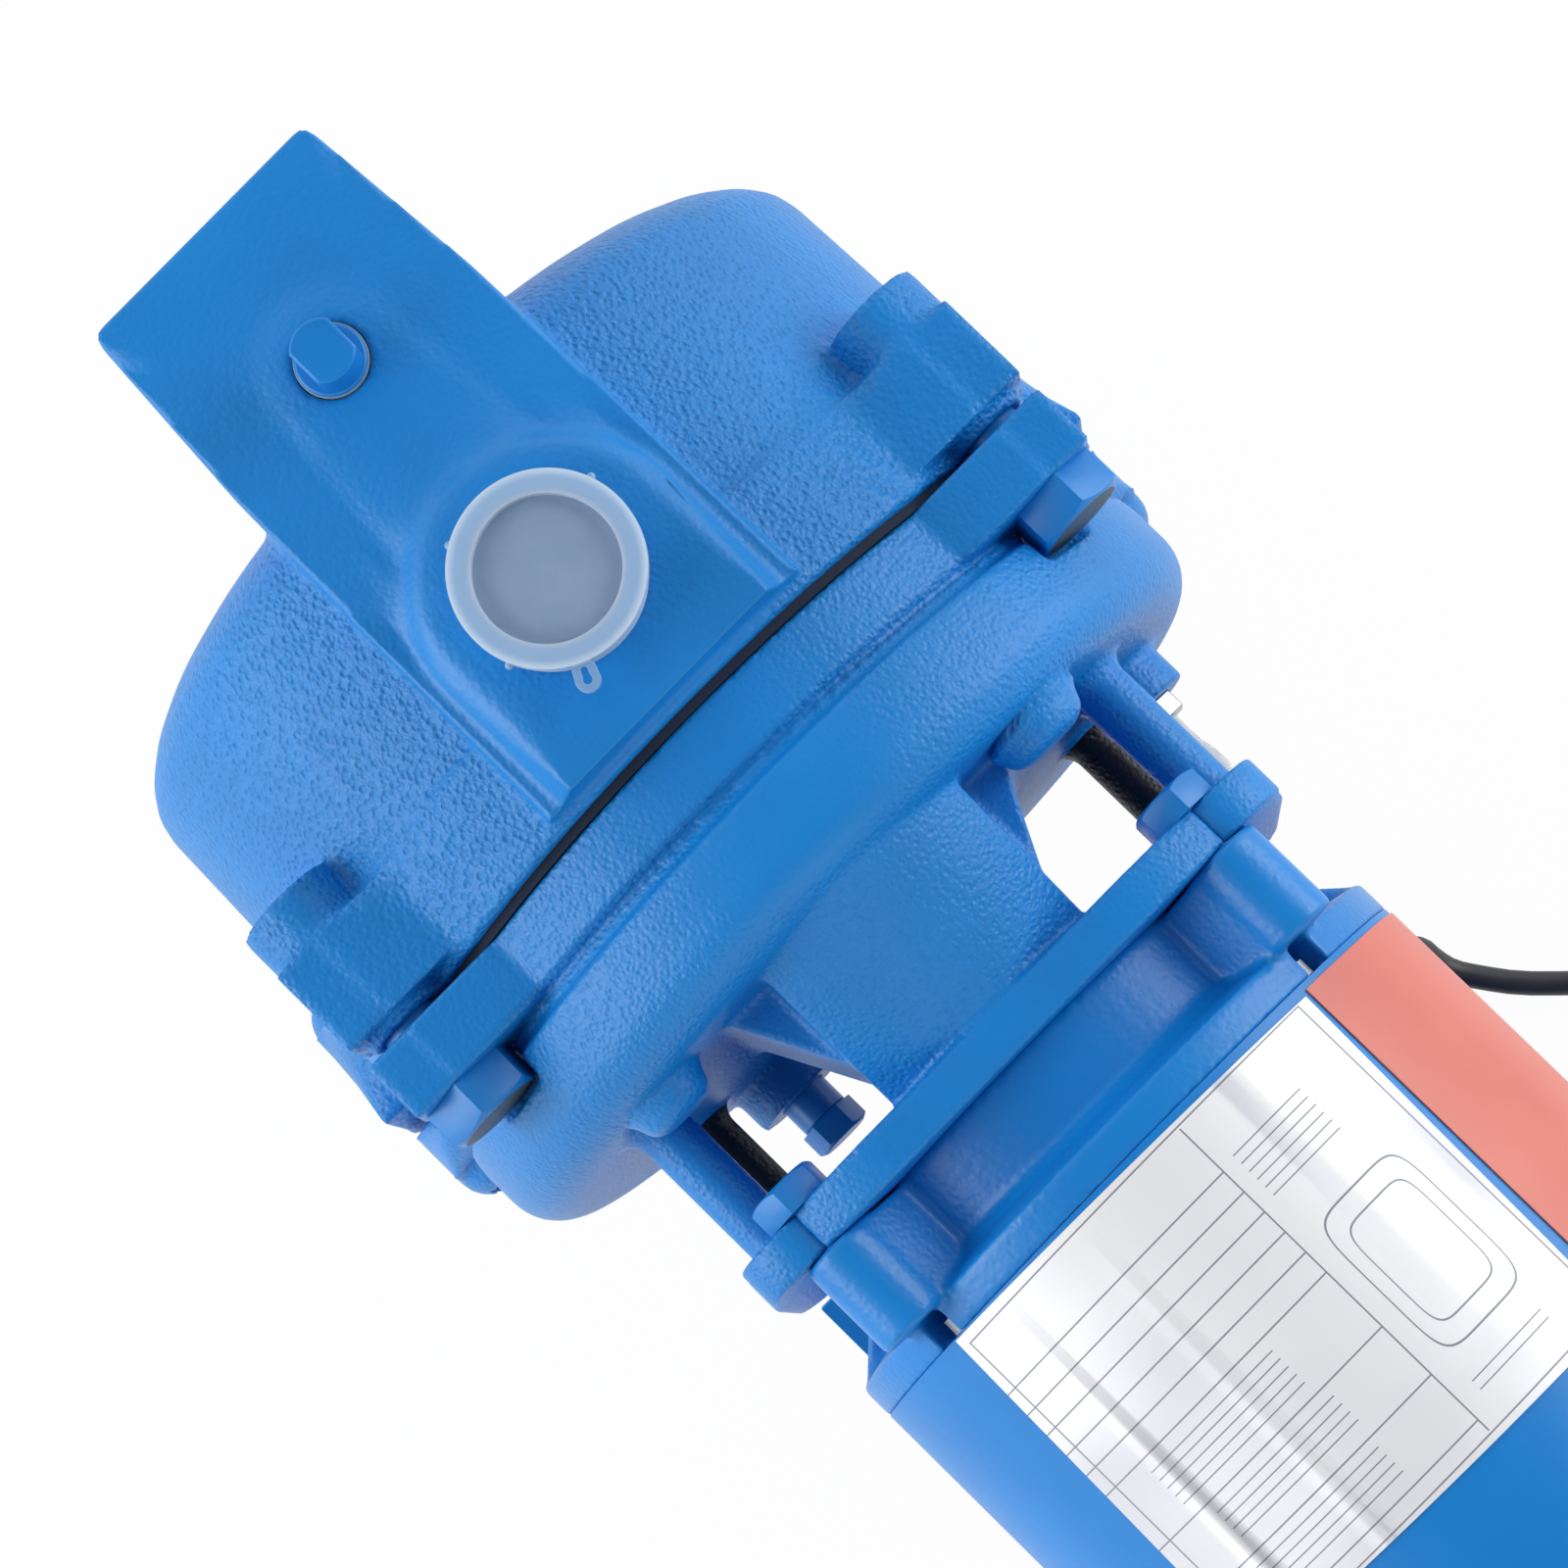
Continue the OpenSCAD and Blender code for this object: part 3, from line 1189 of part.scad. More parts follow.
// Front end bell
stud_ring_r = stator_d/2 - stud_r - shell_wall;
notch_w = 7;
bell_in_r = stud_ring_r - stud_r - casing_wall/2;
module front_end_bell() {
    reach = shell_x + bell_wall;
    color("#4f8fd2") difference() {
        union() {
            difference() {
                turned([[bell_x - motor_register_len + part_gap, 0],
                    [bell_x - motor_register_len + part_gap, motor_register_d/2], [bell_x,
                        motor_register_d/2],
                    [bell_x, waist_r + part_gap], [shell_x - rim_w - bell_wall, waist_r],
                    [shell_x - rim_w - bell_wall/2, waist_r + bell_wall/2], [shell_x - rim_w, shell_r],
                    [shell_x, shell_r], [shell_x, shell_r - shell_wall - seat_gap],
                    [reach, shell_r - shell_wall - seat_gap], [reach, 0]]);
                turned([[bell_x - motor_register_len, 0], [bell_x - motor_register_len,
                    motor_register_d/2 - bell_wall],
                    [bell_x + bell_wall, motor_register_d/2 - bell_wall], [bell_x + bell_wall, 0]]);
                turned([[bell_x + 2*bell_wall, 0], [bell_x + 2*bell_wall, waist_r - bell_wall],
                    [shell_x - rim_w, waist_r - bell_wall/2], [shell_x, bell_in_r],
                    [reach + over, bell_in_r], [reach + over, 0]]);
            }
            bar(bearing_x - bell_wall/2, bearing_x + bearing_w, bearing_d/2 + bell_wall);
            for (i = [0 : 3]) rotate_about_shaft(90*i + 45)
                bar(bell_x, shell_x - rim_w + over, ear_r, motor_circle_d/2, 0);
            for (i = [0 : 3]) rotate_about_shaft(90*i + 45)
                block([bell_x + over, waist_r - bell_wall/4, part_gap - ear_r],
                    [shell_x - rim_w + over, motor_circle_d/2, ear_r - part_gap]);
            for (i = [0 : 1]) rotate_about_shaft(180*i) translate([0, 0, shaft_h - bell_wall])
                linear_extrude(height = 2*bell_wall) polygon([[bell_x + 2*bell_wall, waist_r - bell_wall],
                    [bell_x + 2*bell_wall, waist_r], [shell_x - rim_w + over, shell_r - part_gap],
                    [shell_x - rim_w + over, waist_r - bell_wall]]);
        }
        bar(bearing_x, bearing_x + bearing_w + over, bearing_d/2 + seat_gap);
        bar(bell_x, bearing_x + over, journal_d/2 + 2*part_gap);
        for (i = [0 : 3]) rotate_about_shaft(90*i + 45) {
            bar(bell_x - over, bell_x + mbolt_len + part_gap, mbolt_d/2 + run_gap, motor_circle_d/2, 0);
            block([shell_x - rim_w, stud_ring_r - notch_w/2 - part_gap, -notch_w/2],
                [shell_x, shell_r + over, notch_w/2]);
            bar(shell_x - rim_w - over, reach + over, stud_r + seat_gap, stud_ring_r, 0);
        }
    }
}

// Motor shell, with a hole for the lead
grommet_r = 5.4;
grommet_x = switch_x + pressure_t + switch_len + 18;
grommet_z = -sqrt(pow(shell_r, 2) - pow(switch_y, 2));
module motor_shell() {
    color("#6ba2d8") difference() {
        ring(shell_x, shell_end_x, shell_r, shell_r - shell_wall);
        translate([grommet_x, switch_y, shaft_h + grommet_z - grommet_r])
            cylinder(h = 2*grommet_r, r = lead_d/2 + run_gap + shell_wall/2);
    }
}
module lead_grommet() {
    color("#1d1f21") difference() {
        translate([grommet_x, switch_y, shaft_h + grommet_z - shell_wall])
            cylinder(h = 3*shell_wall, r = lead_d/2 + shell_wall/2);
        translate([grommet_x, switch_y, shaft_h + grommet_z - shell_wall - over])
            cylinder(h = 3*shell_wall + 2*over, r = lead_d/2 + seat_gap);
    }
}

// Rear end bell with the rear bearing, and the cover behind it
vent_count = 10;
vent_w = 8;
stud_head_t = 4;
stud_head_r = 4.2;
stud_seat_x = cover_x - 2*stud_head_t;
screw_bite = 4;
module rear_end_bell() {
    reach = shell_end_x - bell_wall;
    hub_x = rear_bearing_x - bell_wall/2;
    color("#4f8fd2") difference() {
        union() {
            difference() {
                turned([[reach, 0], [reach, shell_r - shell_wall - seat_gap],
                    [shell_end_x, shell_r - shell_wall - seat_gap], [shell_end_x, shell_r],
                    [shell_end_x + rim_w, shell_r], [cover_x, shell_r - bell_wall], [cover_x, 0]]);
                turned([[reach - over, 0], [reach - over, bell_in_r],
                    [shell_end_x + rim_w, bell_in_r],
                    [cover_x - bell_wall, shell_r - 3*bell_wall], [cover_x - bell_wall, 0]]);
            }
            bar(rear_bearing_x, cover_x, bearing_d/2 + bell_wall);
        }
        bar(rear_bearing_x - over, rear_bearing_x + bearing_w + washer_t + seat_gap, bearing_d/2 + seat_gap);
        bar(rear_bearing_x, cover_x + over, journal_d/2 + bell_wall/2);
        for (i = [0 : 3]) rotate_about_shaft(90*i + 45)
            bar(reach - over, cover_x + over, stud_r + seat_gap, stud_ring_r, 0);
        for (i = [0 : 3]) rotate_about_shaft(90*i + 45)
            bar(stud_seat_x, cover_x + over, stud_head_r + 2*part_gap, stud_ring_r, 0);
        for (y = [-1, 1]) bar(cover_x - screw_bite, cover_x + over, stud_r + run_gap, y*cover_screw_y, 0);
        for (i = [0 : vent_count - 1]) rotate_about_shaft(360*i/vent_count)
            block([cover_x - 2*bell_wall, bearing_d/2 + 2*bell_wall, -vent_w/2],
                [cover_x + over, bearing_d/2 + 2*bell_wall + 2*vent_w, vent_w/2]);
    }
}
nut_t = 3.5;
nut_af = 5.8;
module through_bolts() {
    color("#7f8589") for (i = [0 : 3]) rotate_about_shaft(90*i + 45) {
        bar(shell_x - nut_t - 2*part_gap, stud_seat_x + over, stud_r, stud_ring_r, 0);
        hex_bar(shell_x - nut_t - part_gap, shell_x - part_gap, nut_af, stud_ring_r, 0);
        bar(stud_seat_x + seat_gap, stud_seat_x + stud_head_t, stud_head_r, stud_ring_r, 0);
    }
}
fan_hub_t = 14;
fan_x = core_end_x + winding_reach + fan_hub_t/2;
fan_disc_t = 2;
module cooling_fan() {
    color("#2b2e31") {
        ring(fan_x, fan_x + fan_hub_t, core_shaft_r + bell_wall, core_shaft_r + seat_gap);
        ring(fan_x, fan_x + fan_disc_t, fan_r, core_shaft_r + bell_wall - over);
        for (i = [0 : fan_blades - 1]) rotate_about_shaft(360*i/fan_blades)
            block([fan_x + fan_disc_t - over/2, core_shaft_r + 2*bell_wall, -fan_disc_t/2],
                [fan_x + fan_hub_t, fan_r - fan_disc_t, fan_disc_t/2]);
    }
}
governor_x = cover_x + part_gap;
governor_t = 2;
governor_r = 16;
collar_x = governor_x + governor_t + part_gap;
collar_t = 2;
module governor() {
    color("#9da2a6") {
        ring(governor_x, governor_x + governor_t, governor_r, journal_d/2 + seat_gap);
        for (i = [0 : 1]) rotate_about_shaft(180*i)
            block([governor_x + governor_t - over, governor_r - 2*governor_t, -governor_r/2],
                [collar_x + collar_t + collar_travel, governor_r - part_gap, governor_r/2]);
    }
}
module governor_collar() {
    color("#d8d2c0") ring(collar_x, collar_x + collar_t, journal_d/2 + governor_t, journal_d/2 + run_gap);
}
board_t = 3;
board_x = cover_x + 2*governor_t;
module terminal_board() {
    color("#3b3226") {
        block([cover_x, -0.6*bearing_d, bearing_d/2 + bell_wall],
            [cover_x + board_t, 0.6*bearing_d, shell_r - 3*bell_wall]);
        for (y = [-3, -1, 1, 3]) bar(cover_x + board_t - over, cover_x + 2*board_t, board_t, y*2*board_t,
            bearing_d/2 + bell_wall + 3*board_t);
    }
}
cover_r = shell_r - bell_wall - rear_cover_wall;
module rear_cover() {
    color("#2c6fb4") difference() {
        turned([[cover_x + part_gap, 0], [cover_x + part_gap, cover_r], [end_x - bell_wall, cover_r],
            [end_x, cover_r - bell_wall], [end_x, 0]]);
        turned([[cover_x, 0], [cover_x, cover_r - rear_cover_wall],
            [end_x - bell_wall - rear_cover_wall/2, cover_r - rear_cover_wall],
            [end_x - rear_cover_wall, cover_r - bell_wall - rear_cover_wall/2],
                [end_x - rear_cover_wall, 0]]);
        for (y = [-1, 1]) bar(end_x - 2*rear_cover_wall, end_x + over, stud_r + part_gap,
            y*cover_screw_y, 0);
    }
    color("#2c6fb4") for (y = [-1, 1]) ring(cover_x + part_gap, end_x - rear_cover_wall + over/2,
        stud_r + part_gap + rear_cover_wall, stud_r + part_gap, y*cover_screw_y, 0);
}
cover_screw_y = bearing_d/2 + 2*bell_wall + 4*vent_w/2 + 2*part_gap + casing_wall;
module cover_screws() {
    color("#9fa5aa") for (y = [-1, 1]) {
        bar(end_x, end_x + board_t, stud_head_r, y*cover_screw_y, 0);
        bar(cover_x - screw_bite + part_gap, end_x + over, stud_r, y*cover_screw_y, 0);
    }
}

// Labels on the shell
label_x = shell_x + 1.5*part_gap + casing_wall/6;
module nameplate() {
    color("#eceff1") intersection() {
        ring(label_x - nameplate_len/4, label_x + 2*nameplate_len, shell_r + seat_gap + label_t,
            shell_r + seat_gap);
        translate([label_x, 0, shaft_h]) rotate([0, 0, -nameplate_skew]) translate([0, -nameplate_left, 0])
            cube([nameplate_len, nameplate_left + nameplate_right, shell_d]);
    }
}
module side_label() {
    start = asin((nameplate_right + 2*part_gap + nameplate_len*sin(nameplate_skew)/6)/shell_r);
    color("#e0694f") intersection() {
        ring(label_x, label_x + side_label_len, shell_r + seat_gap + label_t, shell_r + seat_gap);
        translate([label_x - over, 0, shaft_h]) rotate([90, 0,
            90]) linear_extrude(height = side_label_len + 2*over)
            polygon([[0, 0], 2*shell_r*[sin(start), cos(start)], 2*shell_r*[sin(75), cos(75)],
                2*shell_r*[sin(side_label_end), cos(side_label_end)]]);
    }
}

// Motor foot: a steel base welded under the shell
foot_front_x = plate_x + casing_wall;
saddle_x = shell_x + shell_len*0.372;
module motor_foot() {
    rear_x = base_span/2 + foot_rear;
    color("#2f6fb0") difference() {
        union() {
            translate([foot_front_x, -foot_w/2, 0]) cube([rear_x - foot_front_x, foot_w, foot_t]);
            for (s = [-1, 1]) translate([saddle_x + s*saddle_off - foot_t/2, -saddle_w/2, 0])
                cube([foot_t, saddle_w, shaft_h - shell_r/2]);
            translate([saddle_x - saddle_off, -saddle_w/6, foot_t - over])
                cube([2*saddle_off, foot_t, shaft_h - shell_r/2]);
        }
        bar(foot_front_x - over, rear_x + over, shell_r + seat_gap);
        both_sides() translate([base_span/2, base_gauge/2, -over]) cylinder(h = foot_t + 2*over,
            d = base_hole_d);
    }
}

// Pressure switch
cover_front_x = switch_x + pressure_t;
guide_t = 3;
guide_x = cover_front_x + switch_len*0.3;
stem_z = switch_z - shaft_h;
frame_w = switch_w - 2*switch_wall - 2*part_gap;
module switch_body() {
    floor_t = foot_t;
    color("#8d9296") difference() {
        union() {
            bar(switch_x, cover_front_x, diaphragm_r + foot_t/2, switch_y, stem_z);
            translate([switch_x, switch_y - frame_w/2, foot_t]) cube([pressure_t, frame_w, switch_h/2]);
            translate([switch_x + over, switch_y - frame_w/2, foot_t])
                cube([pressure_t + switch_len - switch_wall - part_gap, frame_w, floor_t]);
            translate([guide_x, switch_y - frame_w/2, foot_t]) cube([guide_t, frame_w,
                switch_h/2 + 2*plunger_r]);
            bar(barb2_x, switch_x + over, barb_r, switch_y, stem_z);
        }
        bar(barb2_x - over, cover_front_x + over, fitting_bore_r, switch_y, stem_z);
        bar(cover_front_x - 2*diaphragm_t, cover_front_x + over, diaphragm_r - 2*diaphragm_t, switch_y,
            stem_z);
        bar(guide_x - over, guide_x + guide_t + over, plunger_r + run_gap, switch_y, stem_z);
    }
}
module switch_diaphragm() {
    color("#1e1f21") bar(cover_front_x + seat_gap, cover_front_x + diaphragm_t, diaphragm_r, switch_y,
        stem_z);
}
head_x = cover_front_x + diaphragm_t + part_gap;
head_t = 2;
tip_len = 2;
tip_r = 1.2;
module switch_plunger() {
    color("#c8cdd1") {
        bar(head_x, head_x + head_t, range_spring_r + 2*range_wire_r, switch_y, stem_z);
        bar(head_x, head_x + plunger_len - tip_len, plunger_r, switch_y, stem_z);
        cone(head_x + plunger_len - tip_len, head_x + plunger_len, plunger_r, tip_r, switch_y, stem_z);
    }
}
spring_x = head_x + head_t + range_wire_r + seat_gap;
spring_gap = plunger_travel + part_gap;
range_turns = 3;
module switch_spring() {
    color("#d0d4d8") swept(coil_points(spring_x, guide_x - range_wire_r - spring_gap, range_spring_r,
        range_turns, switch_y, switch_z), range_wire_r, 6);
}
lever_x = head_x + plunger_len + part_gap;
pin_r = 1.2;
pin_z = stem_z + lever_arm;
post_gap = 2*part_gap;
module switch_lever() {
    color("#b98a3a") difference() {
        union() {
            block([lever_x, switch_y - lever_w/2, stem_z - plunger_r], [lever_x + lever_t,
                switch_y + lever_w/2, pin_z]);
            translate([lever_x + lever_t/2, switch_y - lever_w/2, shaft_h + pin_z]) rotate([-90, 0, 0])
                cylinder(h = lever_w, r = pin_r + lever_t/2);
        }
        translate([lever_x + lever_t/2, switch_y - lever_w/2 - over, shaft_h + pin_z]) rotate([-90, 0, 0])
            cylinder(h = lever_w + 2*over, r = pin_r + run_gap);
    }
}
contact_gap = 2.3;
module switch_contacts() {
    cheek_in = lever_w/2 + post_gap/2;
    cheek_t = 2;
    color("#2a2c2e") {
        for (s = [-1, 1]) translate([lever_x - cheek_t/2, switch_y + s*(cheek_in + cheek_t/2) - cheek_t/2,
            2*foot_t]) cube([lever_t + 2*pin_r, cheek_t, shaft_h + pin_z + 2*pin_r - 2*foot_t]);
        translate([lever_x + lever_t/2, switch_y - cheek_in - over, shaft_h + pin_z]) rotate([-90, 0, 0])
            cylinder(h = 2*cheek_in + 2*over, r = pin_r);
        translate([lever_x + lever_t + contact_gap, switch_y - cheek_in - cheek_t, 2*foot_t])
            cube([cheek_t, 2*cheek_in + 2*cheek_t, shaft_h + stem_z - plunger_r]);
        for (s = [-1, 1]) translate([lever_x - cheek_t/2, switch_y + s*(cheek_in + cheek_t/2) - cheek_t/2,
            2*foot_t]) cube([lever_t + contact_gap + cheek_t, cheek_t, plunger_r]);
    }
}
relief_x = cover_front_x + switch_len*0.62;
relief_z = foot_t + 11;
relief_y = switch_y + switch_w/2;
module switch_cover() {
    color("#17191b") difference() {
        translate([cover_front_x + part_gap, switch_y - switch_w/2, foot_t + part_gap])
            cube([switch_len, switch_w, switch_h]);
        translate([cover_front_x - over, switch_y - switch_w/2 + switch_wall, foot_t])
            cube([switch_len + over + part_gap - switch_wall, switch_w - 2*switch_wall,
                switch_h - switch_wall + part_gap]);
        translate([relief_x, relief_y - switch_wall - over, relief_z]) rotate([-90, 0, 0])
            cylinder(h = switch_wall + 2*over, r = cord_d/2 + relief_wall + seat_gap);
        translate([cover_front_x + switch_len - switch_wall - over, switch_y, lead_z]) rotate([0, 90, 0])
            cylinder(h = switch_wall + 2*over + part_gap, r = lead_d/2 + seat_gap);
    }
}

// Motor lead, from the switch cover into the shell
lead_z = 30;
lead_x = cover_front_x + switch_len - switch_wall - 1;
LEAD_ROUTE = [[lead_x + 3, switch_y, lead_z], [lead_x + 10, switch_y, lead_z + 0.5],
    [lead_x + 17, switch_y, lead_z + 3.5], [grommet_x, switch_y, lead_z + 10]];
lead_path = soften(concat([[lead_x, switch_y, lead_z]], LEAD_ROUTE,
    [[grommet_x, switch_y, shaft_h + grommet_z - shell_wall - part_gap],
    [grommet_x, switch_y, shaft_h + grommet_z + 2*shell_wall]]));
module motor_lead() {
    color("#1a1c1e") swept(lead_path, lead_d/2, 8);
}

// Strain relief and power cord
relief_wall = 1.2;
relief_end_y = relief_y + relief_len;
module strain_relief() {
    color("#1a1c1e") translate([relief_x, 0, relief_z]) rotate([-90, 0, 0]) {
        translate([0, 0, relief_y - switch_wall - 2*part_gap])
            cylinder(h = switch_wall + 3*part_gap, r = cord_d/2 + relief_wall);
        translate([0, 0, relief_y + part_gap])
            cylinder(h = relief_len - part_gap, r1 = relief_r, r2 = cord_d/2 + relief_wall/2);
    }
}
lie = cord_d/2;
coil_base = tie_t + lie + 0.2;
// Middle of the coil, chosen beside the pump
coil_at = [plate_x + 157, 118];
// Route of the cord from the strain relief to the coil, on the floor from its sixth point
CORD_ROUTE = [for (p = [[44, 75.6, 14], [44.6, 79.2, 12.4], [46.6, 81.6, 8.8], [50.6, 82, 5.4],
    [55.2, 83.2, 3.2], [60.7, 86.7, 2.9], [67.8, 91.8, 2.9], [76.2, 100, 2.9], [85.3, 109.4, 2.9],
    [95, 119.4, 2.9], [104.6, 129.5, 3], [113.2, 138.8, 3.5]]) p + [plate_x, 0, 0]];
coil_turns = 4.125;
coil_rings = 24;
coil_out_r = coil_r + coil_pitch*coil_turns/2;
coil_in_r = coil_out_r - coil_pitch*coil_turns;
coil_start = 133;
function bump(t) = t <= 0 ? 0 : t >= 1 ? 1 : t*t*(3 - 2*t);
function coil_radius(s) = coil_in_r + coil_pitch*abs(s - coil_turns);
function coil_height(s) = coil_base + coil_layer*bump(2*(s - coil_turns) + 0.5);
function coil_place(s) = let (a = coil_start - 360*s)
    [coil_at[0] + coil_radius(s)*cos(a), coil_at[1] + coil_radius(s)*sin(a), coil_height(s)];
coil_steps = 2*coil_turns*coil_rings;
coil_end_deg = coil_start - 360*2*coil_turns - 90;
in_way = [cos(coil_start - 90), sin(coil_start - 90), 0];
coil_first = coil_place(0);
coil_last = coil_place(2*coil_turns);
coil_points = [for (i = [0 : coil_steps]) coil_place(i/coil_rings)];
coil_path = concat([coil_first - cord_d*in_way], coil_points,
    [coil_last + cord_d*[cos(coil_end_deg), sin(coil_end_deg), 0]]);
coil_gap = min([for (i = [0 : coil_steps - coil_rings/2 - 1], j = [i + coil_rings/2 : coil_steps])
    norm(coil_points[i] - coil_points[j])]) - cord_d;
echo(coil_self_gap_mm = coil_gap);
cord_start = [relief_x, relief_end_y, relief_z];
cord_path = concat([cord_start], CORD_ROUTE, [coil_first - 2*cord_d*in_way, coil_first - cord_d*in_way]);
module power_cord() {
    color("#1c1e21") swept(soften(cord_path), cord_d/2, 8);
}
module cord_coil() {
    color("#1c1e21") swept(coil_path, cord_d/2, 6);
}
tie_deg = -100;
tie_gap = 0.4;
module cord_tie() {
    in_r = coil_in_r - cord_d/2 - tie_gap - coil_pitch/4;
    out_r = coil_out_r + cord_d/2 + tie_gap + coil_pitch/4;
    top = coil_base + coil_layer + cord_d/2 + tie_gap;
    color("#202225") translate([coil_at[0], coil_at[1], 0]) rotate([0, 0, tie_deg]) difference() {
        translate([in_r - tie_t, -tie_w/2, 0]) cube([out_r - in_r + 2*tie_t, tie_w, top + tie_t]);
        translate([in_r, -tie_w/2 - over, tie_t]) cube([out_r - in_r, tie_w + 2*over, top - tie_t]);
    }
}

// Plug at the far end, lying beside the coil
plug_h = plug_body_w;
plug_at = [plate_x + 221, 108, plug_h/2];
TAIL_ROUTE = [for (p = [[208, 130.8, 11.2], [216, 121.5, 12]]) p + [plate_x, 0, 0]];
tail_start = coil_last + cord_d*[cos(coil_end_deg), sin(coil_end_deg), 0];
tail_path = concat([tail_start, tail_start + cord_d*[cos(coil_end_deg), sin(coil_end_deg), 0]],
    TAIL_ROUTE, [plug_at + [0, cord_d, 0], plug_at]);
module cord_tail() {
    color("#1c1e21") swept(soften(tail_path), cord_d/2, 8);
}
module plug_body() {
    color("#191b1d") translate(plug_at) rotate([0, 0, -90])
        translate([0, -plug_body_w/2, -plug_h/2]) cube([plug_body_len, plug_body_w, plug_h]);
}
module plug_blades() {
    color("#c9a86a") translate(plug_at - [0, plug_body_len, 0]) rotate([0, 0, -90]) {
        for (s = [-1, 1]) translate([0, s*blade_gap/2 - blade_t/2, plug_h/5 - blade_w/2])
            cube([blade_len, blade_t, blade_w]);
        translate([0, 0, -plug_h/4]) rotate([0, 90, 0]) cylinder(h = earth_len, r = earth_r);
    }
}

pump_casing();
discharge_cap();
priming_plug();
nozzle();
venturi();
venturi_o_ring();
diffuser();
diffuser_screws();
impeller();
seal_seat();
seal_ring();
seal_spring();
casing_gasket();
casing_bolts();
motor_adapter();
motor_bolts();
drain_nipple();
drain_plug();
sensing_fitting();
switch_tube();
slinger();
shaft();
bearing_outer_rings();
bearing_inner_rings();
bearing_balls();
wave_washer();
rotor_core();
stator_core();
windings();
front_end_bell();
motor_shell();
rear_end_bell();
through_bolts();
cooling_fan();
governor();
governor_collar();
terminal_board();
rear_cover();
cover_screws();
nameplate();
side_label();
motor_foot();
switch_body();
switch_diaphragm();
switch_plunger();
switch_spring();
switch_lever();
switch_contacts();
switch_cover();
motor_lead();
lead_grommet();
strain_relief();
power_cord();
cord_coil();
cord_tie();
cord_tail();
plug_body();
plug_blades();
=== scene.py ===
import bpy, bmesh, math
from mathutils import Matrix, Vector


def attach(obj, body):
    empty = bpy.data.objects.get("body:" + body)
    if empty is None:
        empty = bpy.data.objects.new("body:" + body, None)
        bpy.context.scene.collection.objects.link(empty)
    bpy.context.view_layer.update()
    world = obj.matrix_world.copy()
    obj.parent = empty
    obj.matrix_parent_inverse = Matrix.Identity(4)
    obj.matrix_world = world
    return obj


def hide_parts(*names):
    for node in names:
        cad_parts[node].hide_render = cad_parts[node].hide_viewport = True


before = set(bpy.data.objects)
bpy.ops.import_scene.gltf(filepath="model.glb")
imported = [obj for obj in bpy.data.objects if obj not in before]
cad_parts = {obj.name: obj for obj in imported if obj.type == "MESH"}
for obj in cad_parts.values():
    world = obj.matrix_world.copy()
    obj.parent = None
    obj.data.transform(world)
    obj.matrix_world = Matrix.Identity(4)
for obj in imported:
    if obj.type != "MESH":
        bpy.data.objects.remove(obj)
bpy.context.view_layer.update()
bpy.ops.object.select_all(action="DESELECT")

# Camera: looks almost straight down on the pump, turned so that the shaft runs
# from upper left to lower right, and close enough that tall pieces look larger.
view = bpy.data.cameras.new("view")
view.sensor_width = 36.0
view.lens = 108.367
view.shift_x, view.shift_y = -0.08, 0.08
camera = bpy.data.objects.new("camera", view)
bpy.context.scene.collection.objects.link(camera)
camera.matrix_world = Matrix((
    (0.7118393, -0.6945039, 0.1046380, 0.0837965),
    (0.6999559, 0.7137743, -0.0242467, -0.0190226),
    (-0.0578485, 0.0905018, 0.9942148, 1.0776992),
    (0, 0, 0, 1)))
bpy.context.scene.camera = camera
bpy.context.scene.view_settings.view_transform = "Standard"


# Floor: a pale studio table under the pump. The camera sees it as white paper,
# and it still takes the soft shadow of the casting.
def colour(code):
    """An sRGB hex colour as linear light."""
    parts = [int(code[i:i + 2], 16)/255 for i in (1, 3, 5)]
    return [p/12.92 if p <= 0.04045 else ((p + 0.055)/1.055)**2.4 for p in parts] + [1]


def add(tree, kind, settings=None, links=None):
    """Adds a node, sets its properties and sockets, and links the named sockets."""
    node = tree.nodes.new("ShaderNode" + kind)
    for key, value in (settings or {}).items():
        if isinstance(key, str) and hasattr(node, key):
            setattr(node, key, value)
        else:
            node.inputs[key].default_value = value
    for key, source in (links or {}).items():
        tree.links.new(source, node.inputs[key])
    return node


def new_material(name):
    material = bpy.data.materials.new(name)
    material.use_nodes = True
    material.node_tree.nodes.clear()
    return material, material.node_tree


def lit_by(tree, shader):
    """Ends a material's tree with its output."""
    add(tree, "OutputMaterial", links={"Surface": shader.outputs[0]})


floor_size, floor_drop = 6, 0.0004
bpy.ops.mesh.primitive_plane_add(size=floor_size, location=(0, 0, -floor_drop))
floor = bpy.context.object
floor.name = "floor"
paper, t = new_material("white paper table")
rays = add(t, "LightPath")
seen = add(t, "Math", {"operation": "MAXIMUM"},
           {0: rays.outputs["Is Camera Ray"], 1: rays.outputs["Is Glossy Ray"]})
seen = add(t, "Math", {"operation": "MAXIMUM"},
           {0: seen.outputs[0], 1: rays.outputs["Is Transmission Ray"]})
share = add(t, "Math", {"operation": "MULTIPLY", 1: 0.97}, {0: seen.outputs[0]})
matt = add(t, "BsdfDiffuse", {"Color": colour("#e9ebee")})
glow = add(t, "Emission", {"Color": (1, 1, 1, 1), "Strength": 1.0})
lit_by(t, add(t, "MixShader",
              links={0: share.outputs[0], 1: matt.outputs[0], 2: glow.outputs[0]}))
floor.data.materials.append(paper)

